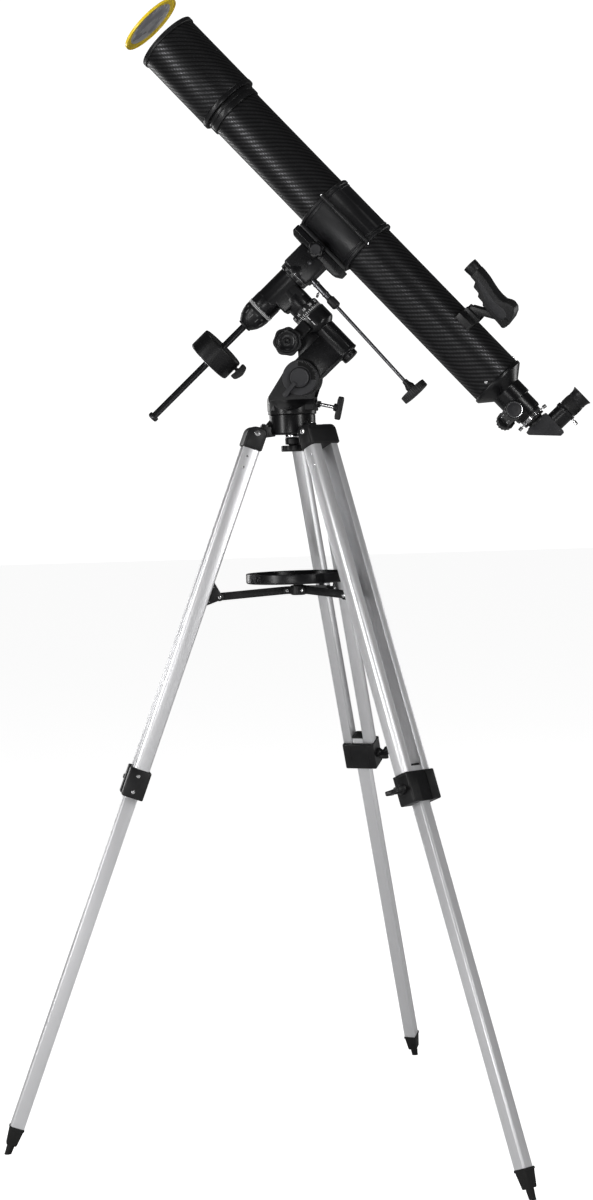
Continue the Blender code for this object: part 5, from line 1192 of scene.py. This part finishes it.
def makeDial():
    face = pivotPlace @ facing((0, 0, 0), -1)
    outside = fork["half"] + 0.0003
    top = outside + 0.0065
    dial = spun([(0, top - 0.0006), (0.0182, top - 0.0006), (0.0186, top), (0.0310, top),
                 (0.0320, top - 0.0012), (0.0320, outside), (0.006, outside), (0.006, -outside),
                 (0.0125, -outside), (0.0125, -outside - 0.009), (0, -outside - 0.009)], 96, 0.0005)
    settle("latitudeDial", [dial], face, "dialGrey", "azimuth", ["latitude_dial"])
    arc = arcPoints((0, 0), 0.0303, -12, 96, 40) + arcPoints((0, 0), 0.0207, 96, -12, 40)
    # a black ring laid over the recess edge round the lever disc: painted shade in the groove
    grooveShadeRing = spun([(0.0179, top - 0.0004), (0.0191, top - 0.0004), (0.0191, top + 0.0002),
                   (0.0179, top + 0.0002)], 96, 0, True)
    settle("dialArcAndGrooveShade", [slab(arc, top - 0.0002, top + 0.0003, 0.0001, "XY", 1), grooveShadeRing], face, "innerBlack",
           "azimuth")
    marks = []
    for i in range(19):
        turn = radians(-12 + 6 * i)
        long = 0.0018 if i % 3 == 0 else 0.0
        mark = brick((0.0284 - long, -0.0002, top + 0.0002), (0.0300, 0.0002, top + 0.0005), 0.00003, 1)
        marks.append(moved(mark, turned(turn)))
    settle("dialTicks", marks, face, "greyPrint", "azimuth")
    disc = spun([(0, top + 0.0058), (0.0150, top + 0.0058), (0.0163, top + 0.0065), (0.0175, top + 0.0055),
                 (0.0175, top + 0.0003), (0.004, top + 0.0003), (0.004, top - 0.008), (0, top - 0.008)], 96,
                0.0006)
    arm = slab([(0.012, -0.0035), (0.030, -0.0040), (0.040, -0.0050), (0.0438, -0.0034), (0.0448, 0),
                (0.0438, 0.0034), (0.040, 0.0050), (0.030, 0.0040), (0.012, 0.0035)], top + 0.0008,
               top + 0.0095, 0.0012, "XY", 3)
    moved(arm, turned(radians(229)))
    settle("altitudeLever", [disc, arm], face, "dialGrey", "altitude_lever",
           ["altitude_lock_lever"])


def makeAltitudeScrew():
    place = placeAt(jointPoint("altitude_screw_turn"), jointLine("altitude_screw_turn"), (0, 1, 0))
    thread = [spun([(0, -0.012), (0.0028, -0.012), (0.0033, -0.0115), (0.0033, 0.042), (0, 0.042)], 32, 0)]
    thread += [spun([(0.0030, z), (0.0034, z + 0.0005), (0.0030, z + 0.001)], 24, 0, True)
               for z in [0.016 + 0.0012 * i for i in range(20)]]
    settle("altitudeRod", thread, place, "brightSteel", "altitude_screw",
           ["altitude_adjust_screw"])
    half = 0.0215
    handle = [spun([(0.0030, 0.0095), (0.0070, 0.0095), (0.0070, 0.015), (0.0030, 0.015)], 6, 0.0004, True),
              spun([(0, 0.0395), (0.0062, 0.0395), (0.0072, 0.0412), (0.0072, 0.047), (0, 0.047)], 40,
                   0.0006), brick((-0.0052, -half, 0.0448), (0.0052, half, 0.0552), 0.0026, 4)]
    handle.append(brick((-0.0042, -half + 0.004, 0.0442), (0.0042, half - 0.004, 0.0556), 0.0012, 2))
    settle("altitudeHandle", handle, place, "satinBlack", "altitude_screw")


makeFork()
makeDial()
makeAltitudeScrew()
print("fork and dial made")


# Tripod head

head = {"radius": 0.042, "bottom": 1.289, "top": 1.325, "lugHalf": 0.012, "lugReach": 0.011, "hip": 0.0692,
        "hipHeight": 1.293}


def makeHead():
    h = head
    screws = []
    drum = spun([(0.0063, h["top"]), (h["radius"] - 0.001, h["top"]), (h["radius"], h["top"] - 0.0012),
                 (h["radius"], h["bottom"] + 0.003), (h["radius"] - 0.0015, h["bottom"]),
                 (0.0063, h["bottom"])], 128, 0.0005, True)
    shapes = [drum]
    for n in "123":
        hip, out = hipAndOut(n)
        inward = h["radius"] - 0.008 - h["hip"]
        outline = [(inward, -h["lugReach"] + 0.004), *arcPoints((0, 0), h["lugReach"], -75, 90, 20),
                   (inward, h["lugReach"])]
        place = placeAt(hip, (0, 0, 1), out)
        shapes.append(moved(slab(outline, -h["lugHalf"], h["lugHalf"], 0.001), place))
        web = [(inward + 0.002, 0.004), (inward + 0.016, 0.004), (inward + 0.016, h["lugReach"] + 0.0035),
               (inward + 0.002, 0.030)]
        shapes.append(moved(slab(web, -0.003, 0.003, 0.001), place))
        shapes.append(moved(slab([(inward + 0.012, 0.006), (inward + 0.026, 0.006), (inward + 0.024, 0.0155),
                                  (inward + 0.012, 0.0155)], -0.009, 0.009, 0.0015), place))
        screws.append(screwHead(place @ placeAt((inward + 0.020, 0, 0.0155), (0, 0, 1), (1, 0, 0)), 0.0034,
                                0.0016))
    settle("headCasting", shapes, standPlace, "enamel", "head", ["tripod_head"])
    settle("lugScrews", screws, standPlace, "brightSteel", "head")
    bolt = spun([(0, 0.045), (0.006, 0.045), (0.006, -0.0060), (0.0135, -0.006), (0.0150, -0.008),
                 (0.0145, -0.018), (0.008, -0.019), (0.008, -0.024), (0, -0.024)], 64, 0.0006)
    shoulder = spun([(0.0055, -0.0003), (0.0145, -0.0003), (0.0150, -0.0012), (0.0150, -0.0040),
                     (0.0135, -0.0062), (0.0055, -0.0062)], 64, 0.0004, True)
    rim = slab(lobes(0.0225, 0.0016, 10, 8), -0.031, -0.020, 0.0014, "XY", 3)
    place = standPlace @ shifted(0, 0, h["bottom"])
    settle("headBoltKnob", [bolt, rim], place, "satinBlack", "head_knob",
           ["head_bolt_knob"])
    settle("headBoltShoulder", [shoulder], place, "brightSteel", "head_knob")


# Legs

leg = {"gap": 0.024, "width": 0.019, "depth": 0.030, "yokeDepth": 0.036, "yokeDrop": 0.030,
       "yokeRise": 0.011, "clamp": 0.6718, "clampHeight": 0.054, "clampDepth": 0.040, "lowerDepth": 0.026,
       "bracketOut": 0.1475, "bracketUp": 0.998}
leg["length"] = jointPoint("leg_1_fold").z / jointLine("lower_leg_1_slide").z
leg["outside"] = leg["gap"] / 2 + leg["width"]


def makeYoke(n, place):
    half, depth, drop, rise = leg["outside"] + 0.001, leg["yokeDepth"] / 2, leg["yokeDrop"], leg["yokeRise"]
    side = [(-depth, -drop), (depth, -drop), (depth, rise - 0.016),
            *arcPoints((depth - 0.016, rise - 0.016), 0.016, 8, 90, 10), (-depth + 0.006, rise),
            (-depth, rise - 0.006)]
    body = slab(side, -half, half, 0.0035, segments=4)
    gap = head["lugHalf"] + 0.0006
    carve(body, brick((-depth * 2, -gap, -head["lugReach"] - 0.004),
                      (head["lugReach"] + 0.0006, gap, rise + 0.01), 0.0003, 1))
    panels = [slab([(-depth + 0.006, -drop + 0.005), (depth - 0.006, -drop + 0.005),
                    (depth - 0.006, rise - 0.017), (depth - 0.014, rise - 0.009),
                    (-depth + 0.010, rise - 0.006), (-depth + 0.006, rise - 0.010)], min(edge, edge + lift),
                   max(edge, edge + lift), 0.0004) for edge,
              lift in ((-half + 0.0004, -0.0009), (half - 0.0004, 0.0009))]
    settle(f"yokeCasting{n}", [body, *panels], place, "satinBlack", f"leg_{n}",
           [f"leg_yoke_{n}"])
    pin = stick((0, -half - 0.003, 0), (0, half + 0.003, 0), 0.003)
    bolts = [screwHead(facing((0, s * (half + 0.0013), 0), s), 0.0058, 0.0022, "hex") for s in (-1, 1)]
    settle(f"yokeBolt{n}", [pin, *bolts], place, "brightSteel", f"leg_{n}")


def railOutline(inner, outer, inset=0.0):
    depth, wall = leg["depth"] / 2 - inset, 0.004
    low, high = inner + inset, outer - inset
    bend = (high - low) * 0.32
    return [(-depth, low), (-depth, high - wall), (-depth + wall * 0.3, high - wall * 0.3),
            (-depth + wall, high), (depth - bend * 1.6, high), (depth - bend * 0.8, high - bend * 0.18),
            (depth - bend * 0.22, high - bend * 0.62), (depth, high - bend * 1.5), (depth, low)]


def makeRails(n, place):
    top, low = -leg["yokeDrop"] - 0.0003, -leg["clamp"] + leg["clampHeight"] / 2 + 0.0003
    out, up = leg["bracketOut"] - head["hip"], leg["bracketUp"] - head["hipHeight"]
    line = jointLine(f"lower_leg_{n}_slide")
    lean, rise = (line.x ** 2 + line.y ** 2) ** 0.5, line.z
    x, z = out * rise + up * lean, up * rise - out * lean
    for side, word in ((-1, "right"), (1, "left")):
        section = [(a, side * b) for a, b in railOutline(leg["gap"] / 2, leg["outside"])]
        bar = slab(section, low, top, 0.0005, "XY")
        settle(f"legRail{n}{word}", [bar], place, f"legAluminium{n}", f"leg_{n}",
               [f"leg_rail_{n}_{word}"])
        foot = -leg["depth"] / 2 + 0.0009
        cheek = [(foot, z + 0.024), *arcPoints((x, z), 0.0075, 90, 270, 14), (foot, z - 0.024)]
        near = leg["gap"] / 2 + 0.0004
        span = sorted((side * near, side * (near + 0.003)))
        settle(f"bracketCheek{n}{word}", [slab(cheek, *span, 0.0005)], place, "satinBlack", f"leg_{n}")
        rivets = [screwHead(facing((0.004, side * (leg["outside"] - 0.0002), -leg["yokeDrop"] - drop), side),
                            0.0023, 0.0008, "plain") for drop in (0.016, 0.037)]
        studs = [screwHead(facing((bx, side * (near + 0.0032), bz), side), size, 0.0010) for bx, bz,
                 size in ((x, z, 0.0035), (foot - 0.003, z + 0.014, 0.0016),
                          (foot - 0.003, z - 0.014, 0.0016))]
        settle(f"railRivets{n}{word}", rivets + studs, place, "brightSteel", f"leg_{n}")


def makeClamp(n, place):
    half, mid = leg["outside"] + 0.001, -leg["clamp"]
    depth, tall = leg["clampDepth"] / 2, leg["clampHeight"] / 2
    body = brick((-depth, -half, mid - tall), (depth, half, mid + tall), 0.0028, 3)
    hole = (leg["lowerDepth"] / 2 + 0.0006, leg["gap"] / 2)
    carve(body, brick((-hole[0], -hole[1], mid - 0.1), (hole[0], hole[1], mid + 0.1), 0.0002, 1),
          brick((depth - 0.0030, -hole[1], mid - 0.1), (depth + 0.01, hole[1], mid + 0.1), 0.0002, 1))
    ribs = [brick((-depth - 0.0006, y - 0.0012, mid - tall + 0.004),
                  (-depth + 0.002, y + 0.0012, mid + tall - 0.004), 0.0006) for y in (-0.018, 0.018)]
    lip = brick((-depth + 0.002, -half - 0.0005, mid + tall - 0.0045),
                (depth - 0.002, -half + 0.003, mid + tall - 0.0005), 0.0006)
    settle(f"clampBlock{n}", [body, *ribs, lip], place, "satinBlack", f"leg_{n}",
           [f"leg_clamp_{n}"])
    screws = [screwHead(facing((0.002, half + 0.0001, mid + z), 1), 0.0036, 0.0014) for z in (-0.015, 0.015)]
    settle(f"clampScrews{n}", screws, place, "brightSteel", f"leg_{n}")
    knobPlace = place @ facing((0, -half, mid), -1)
    stem = spun([(0, -half + 0.013), (0.0035, -half + 0.013), (0.0035, 0.0005), (0.0092, 0.0005),
                 (0.0088, 0.006), (0.0060, 0.009), (0.0052, 0.012), (0.0066, 0.018), (0, 0.019)], 40, 0.0006)
    outline = [(-0.020, 0.0125), (-0.0185, 0.0085), (-0.010, 0.0095), (-0.005, 0.0075), (0.005, 0.0075),
               (0.010, 0.0095), (0.0185, 0.0085), (0.020, 0.0125), (0.0196, 0.0235), (0.0170, 0.0278),
               (0.0125, 0.0262), (0.008, 0.0235), (0, 0.0225), (-0.008, 0.0235), (-0.0125, 0.0262),
               (-0.0170, 0.0278), (-0.0196, 0.0235)]
    wing = slab(outline, -0.004, 0.004, 0.0018, segments=3)
    settle(f"wingKnob{n}", [stem, wing], knobPlace, "satinBlack", f"clamp_knob_{n}",
           [f"clamp_wing_knob_{n}"])


def makeLowerLeg(n, place):
    hx, hy = leg["lowerDepth"] / 2, leg["gap"] / 2 - 0.0006
    top = -leg["clamp"] + leg["clampHeight"] / 2 + 0.014
    low = -leg["length"] + 0.018 + 0.033
    cut = 0.003
    section = [(-hx, -hy), (hx - cut, -hy), (hx, -hy + cut), (hx, hy - cut), (hx - cut, hy), (-hx, hy)]
    bar = slab(section, low, top - 0.004, 0.0005, "XY")
    carve(bar, *[brick((-hx * 2, s * hy - 0.0006, low - 0.01), (-hx + 0.004, s * hy + 0.0006, top + 0.01),
                       0.0001, 1) for s in (-1, 1)])
    settle(f"lowerLeg{n}", [bar], place, f"legAluminium{n}", f"lower_leg_{n}",
           [f"lower_leg_{n}"])
    plug = slab([(a * 0.99, b * 0.99) for a, b in section], top - 0.0045, top, 0.0012, "XY")
    settle(f"legPlug{n}", [plug], place, "satinBlack", f"lower_leg_{n}")
    boot = brick((-hx - 0.0004, -hy - 0.0004, low - 0.033), (hx + 0.0004, hy + 0.0004, low + 0.001), 0.0016,
                 3)
    for vertex in boot.data.vertices:
        down = min(max((low - 0.004 - vertex.co.z) / 0.029, 0), 1)
        vertex.co.x *= 1 - 0.28 * down
        vertex.co.y *= 1 - 0.28 * down
    cuff = brick((-hx - 0.0009, -hy - 0.0009, low - 0.0035), (hx + 0.0009, hy + 0.0009, low + 0.0012),
                 0.0008, 2)
    nub = spun([(0, low - 0.020), (0.0068, low - 0.020), (0.0072, low - 0.036),
                (0.0062, -leg["length"] + 0.004), (0.0060, -leg["length"] - 0.006),
                (0, -leg["length"] - 0.006)], 40, 0.001)
    ground = place.inverted() @ shifted(*(place @ Vector((0, 0, -leg["length"]))).xy, 0)
    for shape in (boot, cuff, nub):
        carve(shape, moved(brick((-0.2, -0.2, -0.05), (0.2, 0.2, 0), 0.0001, 1), ground))
    settle(f"footTip{n}", [boot, cuff, nub], place, "rubber", f"lower_leg_{n}",
           [f"foot_tip_{n}"])


makeHead()
for n in "123":
    for makePart in (makeYoke, makeRails, makeClamp, makeLowerLeg):
        makePart(n, legPlace(n))
print("head and legs made")


# Spreader and tray

tray = {"radius": 0.095, "floor": 0.003, "height": 0.018, "above": 0.014, "hub": 1.005, "pivot": 0.022}


def makeSpreader():
    place = standPlace @ shifted(0, 0, tray["hub"])
    hub = [spun([(0, 0.0137), (0.009, 0.0137), (0.009, 0.009), (0.0145, 0.008), (0.0145, -0.008),
                 (0.0110, -0.0095), (0, -0.0095)], 48, 0.0006)]
    bolts = []
    for n in "123":
        out = hipAndOut(n)[1]
        arm = placeAt(out * tray["pivot"], (0, 0, 1), out)
        near = 0.0056
        for side in (-1, 1):
            span = sorted((side * near, side * (near + 0.0035)))
            lug = [(-0.011, -0.0068), (0.002, -0.0068), *arcPoints((0.0, 0), 0.0068, -80, 80, 10),
                   (-0.011, 0.0068)]
            hub.append(moved(slab(lug, *span, 0.0006), arm))
            bolts.append(moved(screwHead(facing((0, side * (near + 0.0040), 0), side), 0.0034, 0.0012), arm))
        bolts.append(moved(stick((0, -near - 0.003, 0), (0, near + 0.003, 0), 0.0023), arm))
        reach, drop = leg["bracketOut"] - tray["pivot"], tray["hub"] - leg["bracketUp"]
        slope = degrees(atan2(-drop, reach))
        outline = [*arcPoints((0, 0), 0.007, 90 + slope, 270 + slope, 14),
                   *arcPoints((reach, -drop), 0.007, -90 + slope, 90 + slope, 14)]
        middle = slab(outline, -0.005, 0.005, 0.0012, segments=3)
        thin = [((a - reach / 2) * 0.86 + reach / 2, (b + drop / 2) * 0.5 - drop / 2) for a, b in outline]
        barrel = stick((reach, -0.0117, -drop), (reach, 0.0117, -drop), 0.0055)
        ridge = slab(thin, -0.0054, 0.0054, 0.0006)
        settle(f"spreaderArm{n}", [middle, ridge, barrel], place @ arm, "satinBlack", f"arm_{n}",
               [f"spreader_arm_{n}"])
    settle("spreaderHub", hub, place, "satinBlack", "spreader", ["spreader_hub"])
    settle("hubScrews", bolts, place, "brightSteel", "spreader")
    r, base = tray["radius"], tray["above"]
    floor, high = base + tray["floor"], base + tray["height"]
    dish = spun([(0, floor), (0.030, floor), (0.031, floor + 0.0012), (0.033, floor + 0.0012),
                 (0.034, floor), (r - 0.006, floor), (r - 0.0027, floor + 0.003), (r - 0.0025, high - 0.001),
                 (r - 0.0018, high), (r - 0.0006, high), (r, high - 0.0012), (r, base + 0.0024),
                 (r - 0.0020, base), (0, base)], 128, 0.0007)
    settle("trayDish", [dish], place, "enamel", "spreader", ["accessory_tray"])


makeSpreader()
print("spreader and tray made")
